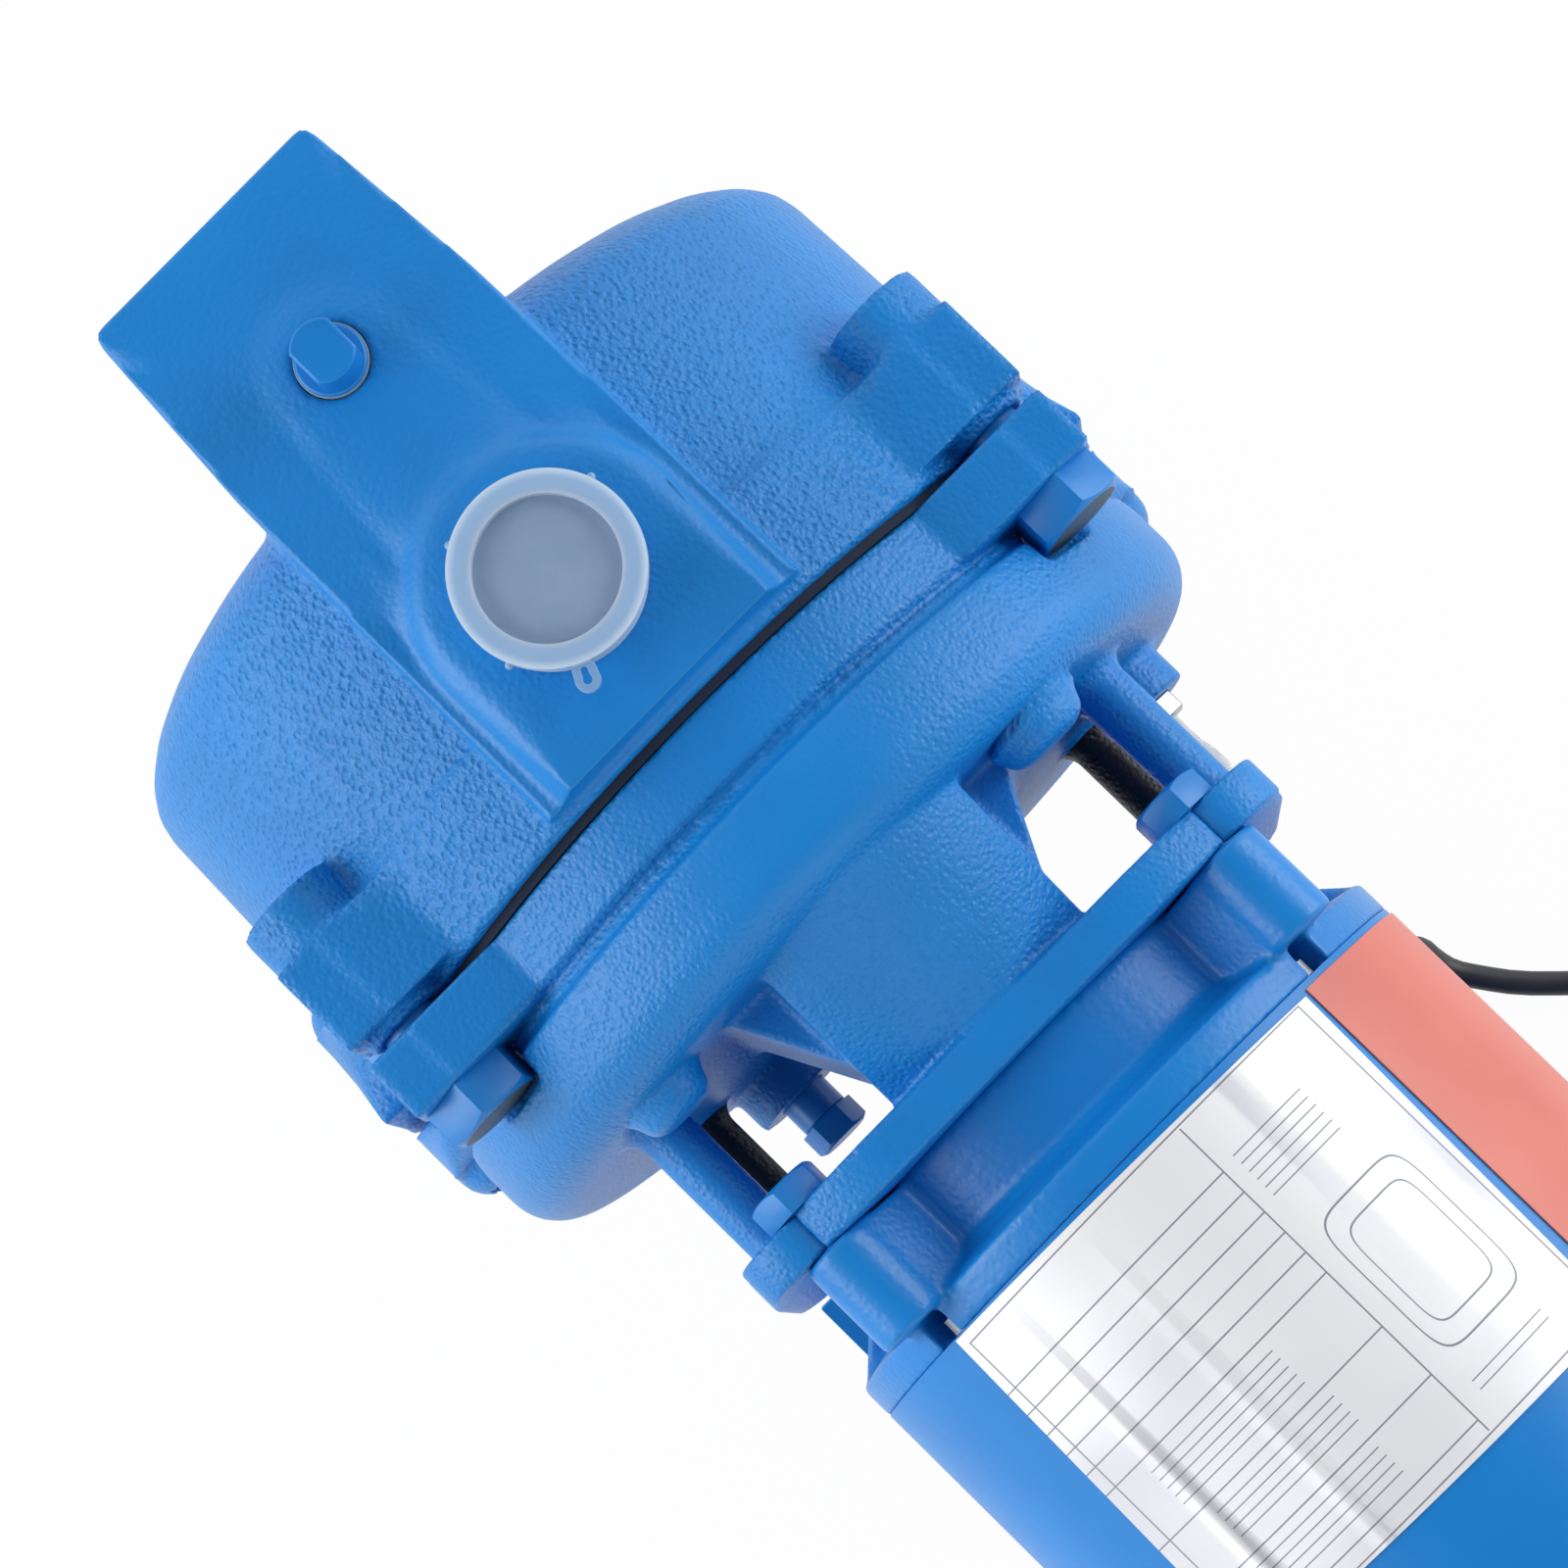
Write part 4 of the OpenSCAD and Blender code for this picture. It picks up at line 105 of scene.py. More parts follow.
# Light: a bright surround and a darker ceiling, as in a light tent that is open over
# the camera and dimmer behind the motor, and three large soft lamps around the pump.
world = bpy.data.worlds.new("light tent")
bpy.context.scene.world = world
world.use_nodes = True
t = world.node_tree
t.nodes.clear()
way = add(t, "TexCoord")
up = add(t, "SeparateXYZ", links={0: way.outputs["Generated"]})
height = add(t, "MapRange", {"From Min": 0.25, "From Max": 0.95, "To Min": 1.12, "To Max": 0.22},
             {"Value": up.outputs["Z"]})
rearward = add(t, "MapRange", {"From Min": -1.0, "To Min": 1.25, "To Max": 0.5},
               {"Value": up.outputs["X"]})
tone = add(t, "Math", {"operation": "MULTIPLY"}, {0: height.outputs[0], 1: rearward.outputs[0]})
rays = add(t, "LightPath")
power = add(t, "Mix", {"data_type": "FLOAT", 3: 1.0},
            {0: rays.outputs["Is Camera Ray"], 2: tone.outputs[0]})
sky = add(t, "Background", {"Color": colour("#fbfcff")}, {"Strength": power.outputs[0]})
add(t, "OutputWorld", links={"Surface": sky.outputs[0]})


def soft_lamp(name, watts, place):
    """A round lamp of 1.2 m that is turned to the middle of the pump."""
    lamp = bpy.data.lights.new(name, "AREA")
    lamp.shape, lamp.size, lamp.energy = "DISK", 1.2, watts
    holder = bpy.data.objects.new(name, lamp)
    bpy.context.scene.collection.objects.link(holder)
    holder.location = place
    aim = Vector((0, 0, 0.1)) - Vector(place)
    holder.rotation_euler = aim.to_track_quat("-Z", "Y").to_euler()


soft_lamp("left lamp", 13.5, (-0.5, -1.25, 0.7))
soft_lamp("right lamp", 13.5, (0.25, 1.3, 0.7))
soft_lamp("rear lamp", 3, (1.3, -0.35, 0.8))


# Power cord: round three-core lead with a black rubber jacket. It leaves the strain
# relief at the switch cover, lies on the floor and ends in a neat coil beside the pump.
def tinted(code, factor, lift=0.0):
    """A hex colour made darker or lighter by a factor, as linear light."""
    return [min(1, factor*part + lift) for part in colour(code)[:3]] + [1]


def two_tone(tree, source, low, high, dark, light):
    """Goes from one linear colour to another as the source goes from low to high."""
    ramp = add(tree, "ValToRGB", links={0: source})
    for stop, place, shade in zip(ramp.color_ramp.elements, (low, high), (dark, light)):
        stop.position, stop.color = place, shade
    return ramp.outputs[0]


def moulded(name, shade, rough, grain_mm, lift_mm):
    """Extruded or moulded rubber and plastic: faintly dusty and finely grained."""
    material, t = new_material(name)
    place = add(t, "TexCoord").outputs["Object"]
    dust = add(t, "TexNoise", {"Scale": 45.0, "Detail": 5.0, "Roughness": 0.6}, {"Vector": place})
    grain = add(t, "TexNoise", {"Scale": 1000/grain_mm, "Detail": 2.0}, {"Vector": place})
    tint = two_tone(t, dust.outputs[0], 0.32, 0.78, colour(shade), tinted(shade, 1.35, 0.004))
    gloss = add(t, "MapRange", {"To Min": rough - 0.06, "To Max": rough + 0.08},
                {"Value": dust.outputs[0]})
    bump = add(t, "Bump", {"Strength": 0.5, "Distance": lift_mm/1000}, {"Height": grain.outputs[0]})
    lit_by(t, add(t, "BsdfPrincipled", {"IOR": 1.5}, {
        "Base Color": tint, "Roughness": gloss.outputs[0], "Normal": bump.outputs[0]}))
    return material


def piece(thing, name, body, material, slot, *nodes):
    """Names a finished piece, gives it its finish, ties it to its body and hides its CAD nodes."""
    thing.name = thing.data.name = name
    if material:
        thing.data.materials.clear()
        thing.data.materials.append(material)
    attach(thing, body)
    if nodes:
        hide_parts(*nodes)
    return thing


cord_rubber = moulded("extruded rubber cord jacket", "#25272c", rough=0.48, grain_mm=0.9,
                      lift_mm=0.05)
cord_d = 0.0056
start_deg, turns, per_turn = 133.0, 4.125, 24  # each of the coil's two layers
middle, inner_r, pitch = (0.171, 0.118), 0.0193, 0.0064
base_z, climb = 0.004, 0.0063  # height of the lower layer, and from it to the upper one


def smooth_step(x):
    x = min(1, max(0, x))
    return x*x*(3 - 2*x)


def coil_place(turn):
    """The cord's middle after so many turns: inwards on the floor, then outwards on top."""
    a = math.radians(start_deg - 360*turn)
    r = inner_r + pitch*abs(turn - turns)
    return Vector((middle[0] + r*math.cos(a), middle[1] + r*math.sin(a),
                   base_z + climb*smooth_step(2*(turn - turns) + 0.5)))


def soften(route):
    """Cuts a route's corners once, and keeps its two ends."""
    cuts = []
    for a, b in zip(route[:-1], route[1:]):
        cuts += [a.lerp(b, 0.25), a.lerp(b, 0.75)]
    return [route[0]] + cuts[1:-1] + [route[-1]]


def level_way(deg):
    """The level direction at an angle from +X."""
    return Vector((math.cos(math.radians(deg)), math.sin(math.radians(deg)), 0))


first, last = coil_place(0), coil_place(2*turns)
in_way, out_way = level_way(start_deg - 90), level_way(start_deg - 720*turns - 90)
# Down from the strain relief and along the floor to the coil, and from its outside up
# to the plug, in millimetres.
lead_in = [Vector(p)/1000 for p in (
    (58, 70, 14), (58, 75.6, 14), (58.6, 79.2, 12.4), (60.6, 81.6, 8.8), (64.6, 82, 5.4),
    (69.2, 83.2, 3.2), (74.7, 86.7, 2.9), (81.8, 91.8, 2.9), (90.2, 100, 2.9), (99.3, 109.4, 2.9),
    (109, 119.4, 2.9), (118.6, 129.5, 3), (127.2, 138.8, 3.5))]
tail = [last + cord_d*out_way, last + 2*cord_d*out_way] + [Vector(p)/1000 for p in (
    (222, 130.8, 11.2), (230, 121.5, 12), (235, 113.6, 12.5), (235, 108, 12.5))]
route = soften(lead_in + [first - 2*cord_d*in_way, first - cord_d*in_way])
route += [coil_place(i/per_turn) for i in range(int(2*turns*per_turn) + 1)]
route += soften(tail)
cord_line = bpy.data.curves.new("power_cord_line", "CURVE")
cord_line.dimensions = "3D"
cord_line.bevel_depth = cord_d/2
cord_line.bevel_resolution = 5
cord_line.use_fill_caps = True
spline = cord_line.splines.new("POLY")
spline.points.add(len(route) - 1)
for point, place in zip(spline.points, route):
    point.co = (*place, 1)
spline.use_smooth = True
cord = bpy.data.objects.new("cord", cord_line)
bpy.context.scene.collection.objects.link(cord)
piece(cord, "cord", "pump", cord_rubber, "cord_jacket", "power_cord", "cord_coil", "cord_tail")


# Plug: moulded on to the cord's end, straight body with finger grooves, two flat
# brass blades and a round earth pin. It lies beside the coil.
def edit(kind, choose):
    """Selects the faces, edges or vertices that choose() accepts, in edit mode."""
    bpy.ops.object.mode_set(mode="EDIT")
    bpy.ops.mesh.select_mode(type=kind)
    bpy.ops.mesh.select_all(action="DESELECT")
    mesh = bmesh.from_edit_mesh(bpy.context.object.data)
    parts = {"FACE": mesh.faces, "EDGE": mesh.edges, "VERT": mesh.verts}[kind]
    for part in parts:
        part.select_set(bool(choose(part)))
    mesh.select_flush_mode()
    bmesh.update_edit_mesh(bpy.context.object.data)


def leave_edit(smooth_deg=35):
    bpy.ops.object.mode_set(mode="OBJECT")
    bpy.ops.object.shade_smooth_by_angle(angle=math.radians(smooth_deg))


def bevel(choose, width, segments=2):
    """Rounds the chosen edges of the active mesh and leaves edit mode."""
    edit("EDGE", choose)
    bpy.ops.mesh.bevel(offset=width, segments=segments, affect="EDGES")
    leave_edit()


def cut_across(places, way):
    """Cuts the active mesh across a direction at each place along it."""
    edit("FACE", lambda f: True)
    for place in places:
        bpy.ops.mesh.select_all(action="SELECT")
        bpy.ops.mesh.bisect(plane_co=place*Vector(way), plane_no=way)


def put(thing, turn=(0, 0, 0), place=(0, 0, 0)):
    """Turns and moves the finished mesh, and leaves its object at the origin."""
    thing.data.transform(Matrix.Translation(place) @ Matrix.Rotation(turn[2], 4, "Z")
                         @ Matrix.Rotation(turn[1], 4, "Y") @ Matrix.Rotation(turn[0], 4, "X"))
    thing.matrix_world = Matrix.Identity(4)
    return thing


def bake_scale(thing):
    """Works a new primitive's place, turn and scale into its mesh."""
    bpy.ops.object.transform_apply(location=True, rotation=True, scale=True)
    return thing


def finish_modifier(kind, **settings):
    """Adds a modifier to the active piece with its settings, and applies it."""
    modifier = bpy.context.object.modifiers.new(kind.title(), kind)
    for key, value in settings.items():
        setattr(modifier, key, value)
    bpy.ops.object.modifier_apply(modifier=modifier.name)


def copy_of(thing, move, turn_x):
    """A copy with its own mesh, turned about the X axis and moved."""
    twin = thing.copy()
    twin.data = thing.data.copy()
    bpy.context.scene.collection.objects.link(twin)
    twin.data.transform(Matrix.Translation(move) @ Matrix.Rotation(turn_x, 4, "X"))
    return twin


def join(things, name):
    bpy.ops.object.select_all(action="DESELECT")
    for thing in things:
        thing.select_set(True)
    bpy.context.view_layer.objects.active = things[0]
    if len(things) > 1:
        bpy.ops.object.join()
    things[0].name = name
    return things[0]


plug_rubber = moulded("moulded rubber plug", "#1b1c1f", rough=0.42, grain_mm=0.7, lift_mm=0.06)
bpy.ops.object.select_all(action="DESELECT")
plug_w, plug_l, plug_at = 0.0246, 0.034, (0.235, 0.108, 0.0125)
bpy.ops.mesh.primitive_cube_add(size=1, location=(0, plug_l/2, 0))
plug = bpy.context.object
plug.scale = (plug_w, plug_l, plug_w)
bake_scale(plug)
edit("FACE", lambda f: f.normal.y > 0.9)
bpy.ops.mesh.inset(thickness=0.0035)
bpy.ops.transform.resize(value=(0.5, 1, 0.5), center_override=(0, plug_l, 0))
edit("EDGE", lambda e: abs((e.verts[0].co - e.verts[1].co).normalized().y) > 0.9)
bpy.ops.mesh.bevel(offset=0.005, segments=4, affect="EDGES")
cut_across((0.012, 0.0145, 0.0175, 0.02, 0.023, 0.0255, 0.029), (0, 1, 0))
edit("VERT", lambda v: any(abs(v.co.y - y) < 1e-5 for y in (0.0145, 0.02, 0.0255)))
bpy.ops.transform.resize(value=(0.9, 1, 0.9), center_override=(0, 0.02, 0))
bevel(lambda e: e.calc_face_angle(0) > math.radians(40), 0.0008)
put(plug, turn=(0, 0, math.pi), place=plug_at)
piece(plug, "cord_plug", "pump", plug_rubber, "black_rubber", "plug_body")


def metal(name, shade, rough, streak_mm, lift_mm, spread=0.08, metallic=1.0):
    """Bare or plated metal: fine machining or plating grain, slightly uneven gloss."""
    material, t = new_material(name)
    place = add(t, "TexCoord").outputs["Object"]
    cloud = add(t, "TexNoise", {"Scale": 60.0, "Detail": 4.0}, {"Vector": place})
    grain = add(t, "TexNoise", {"Scale": 1000/streak_mm, "Detail": 3.0, "Roughness": 0.6},
                {"Vector": place})
    tint = two_tone(t, cloud.outputs[0], 0.3, 0.75, tinted(shade, 0.82), colour(shade))
    gloss = add(t, "MapRange", {"To Min": rough - spread, "To Max": rough + spread},
                {"Value": grain.outputs[0]})
    bump = add(t, "Bump", {"Strength": 0.4, "Distance": lift_mm/1000}, {"Height": grain.outputs[0]})
    lit_by(t, add(t, "BsdfPrincipled", {"Metallic": metallic}, {
        "Base Color": tint, "Roughness": gloss.outputs[0], "Normal": bump.outputs[0]}))
    return material


brass = metal("turned brass", "#c9a45a", rough=0.32, streak_mm=0.6, lift_mm=0.02)
bpy.ops.object.select_all(action="DESELECT")
blades = []
for side in (-1, 1):
    bpy.ops.mesh.primitive_cube_add(size=1, location=(plug_at[0] + side*0.00635, 0.0655, 0.0175))
    blade = bpy.context.object
    blade.scale = (0.0015, 0.017, 0.0063)
    bake_scale(blade)
    bevel(lambda e: e.verts[0].co.y < 0.06 and e.verts[1].co.y < 0.06, 0.0007)
    blades.append(blade)
pin_r, pin_z = 0.0024, 0.00625
bpy.ops.mesh.primitive_cylinder_add(vertices=32, radius=pin_r, depth=0.02,
                                    location=(plug_at[0], 0.064, pin_z),
                                    rotation=(math.pi/2, 0, 0))
pin = bake_scale(bpy.context.object)
edit("FACE", lambda f: f.normal.y < -0.9)
bpy.ops.mesh.inset(thickness=0.0012)
bpy.ops.transform.translate(value=(0, -0.0001, 0))
bevel(lambda e: all(v.co.y < 0.0545 and abs(Vector((
    v.co.x - plug_at[0], v.co.z - pin_z)).length - pin_r) < 1e-5 for v in e.verts), 0.0009, 3)
piece(join(blades + [pin], "cord_plug_blades"), "cord_plug_blades", "pump", brass, "brass",
      "plug_blades")


# Coil tie: a strap of soft black vinyl round the coil, its ends twisted together.
# The cord is then complete, with its plug, blades and tie.
def give(material, *nodes):
    """Gives CAD pieces that stay as they are their finish."""
    for node in nodes:
        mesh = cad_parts[node].data
        mesh.materials.clear()
        mesh.materials.append(material)


give(moulded("soft vinyl strap", "#2a2c30", rough=0.5, grain_mm=0.8, lift_mm=0.04), "cord_tie")


# Pump casing: sand-cast grey iron, sprayed with blue enamel. The mould leaves soft
# corners and an orange-peel skin; the box and pads are cast in one with the drum.
def merged_copy(node):
    """A loose copy of a CAD node, its doubled vertices merged; leaves it in edit mode."""
    bpy.ops.object.select_all(action="DESELECT")
    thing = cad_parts[node].copy()
    thing.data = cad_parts[node].data.copy()
    thing.parent = None
    for key in list(thing.keys()):
        if key.startswith("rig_"):
            del thing[key]
    bpy.context.scene.collection.objects.link(thing)
    thing.matrix_world = Matrix.Identity(4)
    thing.select_set(True)
    bpy.context.view_layer.objects.active = thing
    edit("FACE", lambda f: True)
    bpy.ops.mesh.remove_doubles(threshold=0.00001)
    return thing


def cast_copy(node, voxel_mm, rounds=3):
    """A copy of a CAD node with a casting's rounded corners and hollows."""
    thing = merged_copy(node)
    bpy.ops.object.mode_set(mode="OBJECT")
    finish_modifier("REMESH", mode="VOXEL", voxel_size=voxel_mm/1000, adaptivity=0.0,
                    use_smooth_shade=True)
    finish_modifier("SMOOTH", factor=0.5, iterations=rounds)
    most_triangles = 195000
    triangles = sum(len(f.vertices) - 2 for f in thing.data.polygons)
    if triangles > most_triangles:
        finish_modifier("DECIMATE", decimate_type="COLLAPSE", ratio=most_triangles/triangles)
    bpy.ops.object.shade_smooth()
    return thing


def smooth_at(choose, rounds):
    """Smooths the chosen vertices of the active mesh, and stays in edit mode."""
    edit("VERT", choose)
    bpy.ops.mesh.vertices_smooth(factor=0.5, repeat=rounds)


def enamel(name, shade, grain_mm, lift_mm, rough, legs_in_painted_shade=False):
    """Sprayed machine enamel: even colour, orange-peel skin over the metal below, and
    a flatter skin on the level faces and the casing's high pads, where the paint flowed."""
    material, t = new_material(name)
    place = add(t, "TexCoord").outputs["Object"]
    cloud = add(t, "TexNoise", {"Scale": 22.0, "Detail": 3.0}, {"Vector": place})
    base = two_tone(t, cloud.outputs[0], 0.3, 0.7, tinted(shade, 0.90), tinted(shade, 1.07))
    skin = add(t, "TexNoise", {"Scale": 1000/grain_mm, "Detail": 3.0, "Roughness": 0.55},
               {"Vector": place})
    pits = add(t, "TexVoronoi", {"Scale": 1000/(grain_mm*1.3), "Randomness": 1.0},
               {"Vector": place})
    pits = add(t, "MapRange", {"From Max": 0.6, "To Min": 0.0, "To Max": 0.8},
               {"Value": pits.outputs[0]})
    height = add(t, "Math", {"operation": "ADD"}, {0: skin.outputs[0], 1: pits.outputs[0]})
    facing = add(t, "SeparateXYZ", links={0: add(t, "NewGeometry").outputs["Normal"]})
    level = add(t, "MapRange", {"From Min": 0.9, "From Max": 0.99, "To Min": 0.8,
                                "To Max": 0.28}, {"Value": facing.outputs["Z"]})
    spot = add(t, "SeparateXYZ", links={0: place})
    high = add(t, "MapRange", {"From Min": 0.2085, "From Max": 0.2105, "To Min": 0.8,
                               "To Max": 0.175}, {"Value": spot.outputs["Z"]})
    skin_depth = add(t, "Math", {"operation": "MINIMUM"}, {0: level.outputs[0], 1: high.outputs[0]})
    bump = add(t, "Bump", {"Distance": lift_mm/1000},
               {"Height": height.outputs[0], "Strength": skin_depth.outputs[0]})
    gloss = add(t, "MapRange", {"To Min": rough - 0.05, "To Max": rough + 0.07},
                {"Value": cloud.outputs[0]})
    # Painted shade: the lower legs, which lie in the upper legs' shadow, get a near-black colour.
    if legs_in_painted_shade:
        x, z = spot.outputs["X"], spot.outputs["Z"]
        outward = add(t, "Math", {"operation": "ABSOLUTE"}, {0: spot.outputs["Y"]}).outputs[0]
        inside = None
        for source, operation, limit in (
                (x, "GREATER_THAN", -0.0202), (x, "LESS_THAN", 0.0136),
                (z, "LESS_THAN", 0.0885), (outward, "GREATER_THAN", 0.0515)):
            test = add(t, "Math", {"operation": operation, 1: limit}, {0: source})
            if inside:
                test = add(t, "Math", {"operation": "MULTIPLY"}, {0: test.outputs[0], 1: inside})
            inside = test.outputs[0]
        base = add(t, "Mix", {"data_type": "RGBA", 7: colour("#0c1018")},
                   {0: inside, 6: base}).outputs[2]
    lit_by(t, add(t, "BsdfPrincipled", {
        "IOR": 1.5, "Specular IOR Level": 0.42, "Coat Weight": 0.08, "Coat Roughness": 0.3},
        {"Base Color": base, "Roughness": gloss.outputs[0], "Normal": bump.outputs[0]}))
    return material


cap_x, priming_x, shaft_z = -0.0975, -0.1575, 0.118
cap_seat_r, priming_seat_r, pad_z = 0.0182, 0.0086, 0.2095


def off_axis(vertex, x):
    """A vertex's distance from the upright axis at x on the pump's middle line."""
    return (vertex.co - Vector((x, 0, vertex.co.z))).length


def off_shaft(vertex):
    """A vertex's distance from the shaft's axis."""
    return math.hypot(vertex.co.y, vertex.co.z - shaft_z)


def in_box(vertex, low, high):
    """Whether a vertex lies between two corners, on either side of the pump."""
    place = vertex.co.x, abs(vertex.co.y), vertex.co.z
    return all(a < c < b for a, b, c in zip(low, high, place))


cast_enamel = enamel("blue enamel on sand-cast iron", "#0b7fcd", grain_mm=1.15, lift_mm=0.66,
                     rough=0.43)
casing = cast_copy("pump_casing", 1.0)
smooth_at(lambda v: in_box(v, (-0.190, -1, pad_z), (-0.070, 0.0275, 1))
          and off_axis(v, cap_x) > cap_seat_r and off_axis(v, priming_x) > priming_seat_r, 45)
lower_lugs = (-0.112, 0.088, 0.086), (-0.067, 0.110, 0.114)
upper_lugs = (-0.103, 0.046, 0.165), (-0.070, 0.070, 0.205)
for corners, rounds in ((lower_lugs, 60), (upper_lugs, 14)):
    smooth_at(lambda v: in_box(v, *corners), rounds)
drum_crease = Vector((-0.1103, 0.0635, 0.1853))
smooth_at(lambda v: (v.co - drum_crease).length < 0.008 and off_shaft(v) > 0.0885, 16)
bpy.ops.object.mode_set(mode="OBJECT")
piece(casing, "casing", "pump", cast_enamel, "casing_enamel", "pump_casing")

# Gasket: dark compressed fibre, seen only as a line in the joint of the two castings.
# Its navy tint is painted shade for the shadow in that joint. It keeps its CAD shape.
give(moulded("dark fibre gasket, navy as painted joint shade", "#0a1c33", rough=0.85, grain_mm=0.5, lift_mm=0.03),
     "casing_gasket")

# Adapter: the second iron casting, with the rear of the water chamber, four legs,
# the top arm and the motor flange in one piece. The two lower legs are painted near-black:
# painted shade for the shadow under the upper legs, though the casting is blue all over.
# Bosses behind the upper legs, a groove beside the rim and two shoulders finish its shape.
adapter_enamel = enamel("blue enamel, with painted shade on the lower legs", "#0b7fcd", grain_mm=1.0,
                        lift_mm=0.32, rough=0.41, legs_in_painted_shade=True)
adapter = cast_copy("motor_adapter", 1.0, 2)
boss_front, boss_rear, boss_r = -0.0235, -0.012, 0.0094
# Where each boss is, how much it is widened and how far it is brought forward.
for y, z, wide, out in ((0.047, 0.180, 1.24, 0.0012), (-0.055, 0.172, 1.04, 0)):
    smooth_at(lambda v: boss_front < v.co.x < boss_rear
              and math.hypot(v.co.y - y, v.co.z - z) < boss_r, 24)
    bpy.ops.transform.resize(value=(1, wide, 1.06), center_override=(-0.02, y + 0.008, z))
    bpy.ops.transform.translate(value=(out, 0, 0))
groove_front, groove_rear, groove_share = -0.0491, -0.0474, 0.984
edit("VERT", lambda v: groove_front < v.co.x < groove_rear and v.co.z > 0.14
     and 0.078 < off_shaft(v) < 0.0935)
bpy.ops.transform.resize(value=(1, groove_share, groove_share), center_override=(0, 0, shaft_z))
lower_lugs = (-0.0622, 0.088, 0.086), (-0.036, 1, 0.114)
smooth_at(lambda v: in_box(v, *lower_lugs), 60)
bpy.ops.object.mode_set(mode="OBJECT")
shoulders = []
for side in (-1, 1):
    bpy.ops.mesh.primitive_cylinder_add(vertices=96, radius=0.0117, depth=0.0091,
                                        rotation=(0, math.pi/2, 0),
                                        location=(0.01865, side*0.0585, 0.1645))
    shoulders.append(bake_scale(bpy.context.object))
    bevel(lambda e: abs(e.calc_face_angle(0)) > math.radians(60), 0.0009, 3)
join([adapter] + shoulders, "adapter")
piece(adapter, "adapter", "pump", adapter_enamel, "casing_enamel", "motor_adapter")

# Casing bolts: four hex cap screws, sprayed in place with the castings. The paint has
# gone from the ends of their heads, where a wrench rubbed the iron bare.
bolt_paint = enamel("blue enamel on a bolt", "#0b7ccb", grain_mm=2.4, lift_mm=0.05, rough=0.36)
worn_iron = metal("worn dark iron", "#55616d", rough=0.50, streak_mm=0.5, lift_mm=0.05,
                  spread=0.12, metallic=0.55)


def hex_bolt(across, head_h, shank_r, shank_len, ends):
    """A hex cap screw along +X: head in front of X = 0, shank behind it."""
    bpy.ops.object.select_all(action="DESELECT")
    bpy.ops.mesh.primitive_cylinder_add(vertices=6, radius=across/2/math.cos(math.pi/6),
                                        depth=head_h, location=(0, 0, head_h/2))
    head = bake_scale(bpy.context.object)
    bpy.ops.mesh.primitive_cone_add(vertices=64, radius1=across*1.4, radius2=across*0.47,
                                    depth=across*0.54, location=(0, 0, head_h - across*0.27))
    chamfer = bake_scale(bpy.context.object)
    bpy.ops.object.select_all(action="DESELECT")
    head.select_set(True)
    bpy.context.view_layer.objects.active = head
    finish_modifier("BOOLEAN", object=chamfer, operation="INTERSECT", solver="EXACT")
    bpy.data.objects.remove(chamfer)
    finish_modifier("BEVEL", width=across*0.022, segments=2, limit_method="ANGLE",
                    angle_limit=math.radians(18))
    head.data.materials.append(bolt_paint)
    head.data.materials.append(ends)
    edit("FACE", lambda f: f.normal.z > 0.995 and f.calc_center_median().z > head_h*0.98)
    bpy.context.object.active_material_index = 1
    bpy.ops.object.material_slot_assign()
    leave_edit(28)
    bpy.ops.mesh.primitive_cylinder_add(vertices=32, radius=shank_r, depth=shank_len,
                                        location=(0, 0, -shank_len/2))
    shank = bake_scale(bpy.context.object)
    bevel(lambda e: all(v.co.z < -shank_len + 1e-5 for v in e.verts), 0.001)
    shank.data.materials.append(bolt_paint)
    bolt = join([head, shank], "bolt")
    bpy.ops.object.shade_smooth_by_angle(angle=math.radians(28))
    return put(bolt, turn=(0, math.pi/2, 0))


def bolt_set(first_bolt, x, places, name, node):
    """Four copies of a bolt at (y, z), each turned as it was tightened, as one piece."""
    bolts = [copy_of(first_bolt, (x, y, z), math.radians(deg)) for y, z, deg in places]
    bpy.data.objects.remove(first_bolt)
    piece(join(bolts, name), name, "pump", None, "bolt_enamel", node)


casing_bolt = hex_bolt(across=0.019, head_h=0.0087, shank_r=0.00634, shank_len=0.0397,
                       ends=worn_iron)
bolt_set(casing_bolt, -0.0485, (
    (0.07997, 0.17804, 22), (-0.07997, 0.17804, 38), (0.08829, 0.07105, 30),
    (-0.08829, 0.07105, 25)), "casing_screws", "casing_bolts")

# Motor bolts: four smaller hex screws through the flange into the motor's front bell,
# painted all over.
motor_bolt = hex_bolt(across=0.0143, head_h=0.0062, shank_r=0.0045, shank_len=0.0264,
                      ends=bolt_paint)
bolt_set(put(motor_bolt, turn=(0, 0, math.pi)), 0.014, (
    (-0.05275, 0.17075, 40), (0.05275, 0.17075, 20), (-0.05275, 0.06525, 30),
    (0.05275, 0.06525, 30)), "motor_screws", "motor_bolts")

# Priming plug: a round pipe plug with two flats for a wrench, painted over. A thin
# grey ring of thread sealant shows where it enters the pad.
sealant = moulded("grey thread sealant", "#6d8596", rough=0.6, grain_mm=0.9, lift_mm=0.1)
turned_parts = []
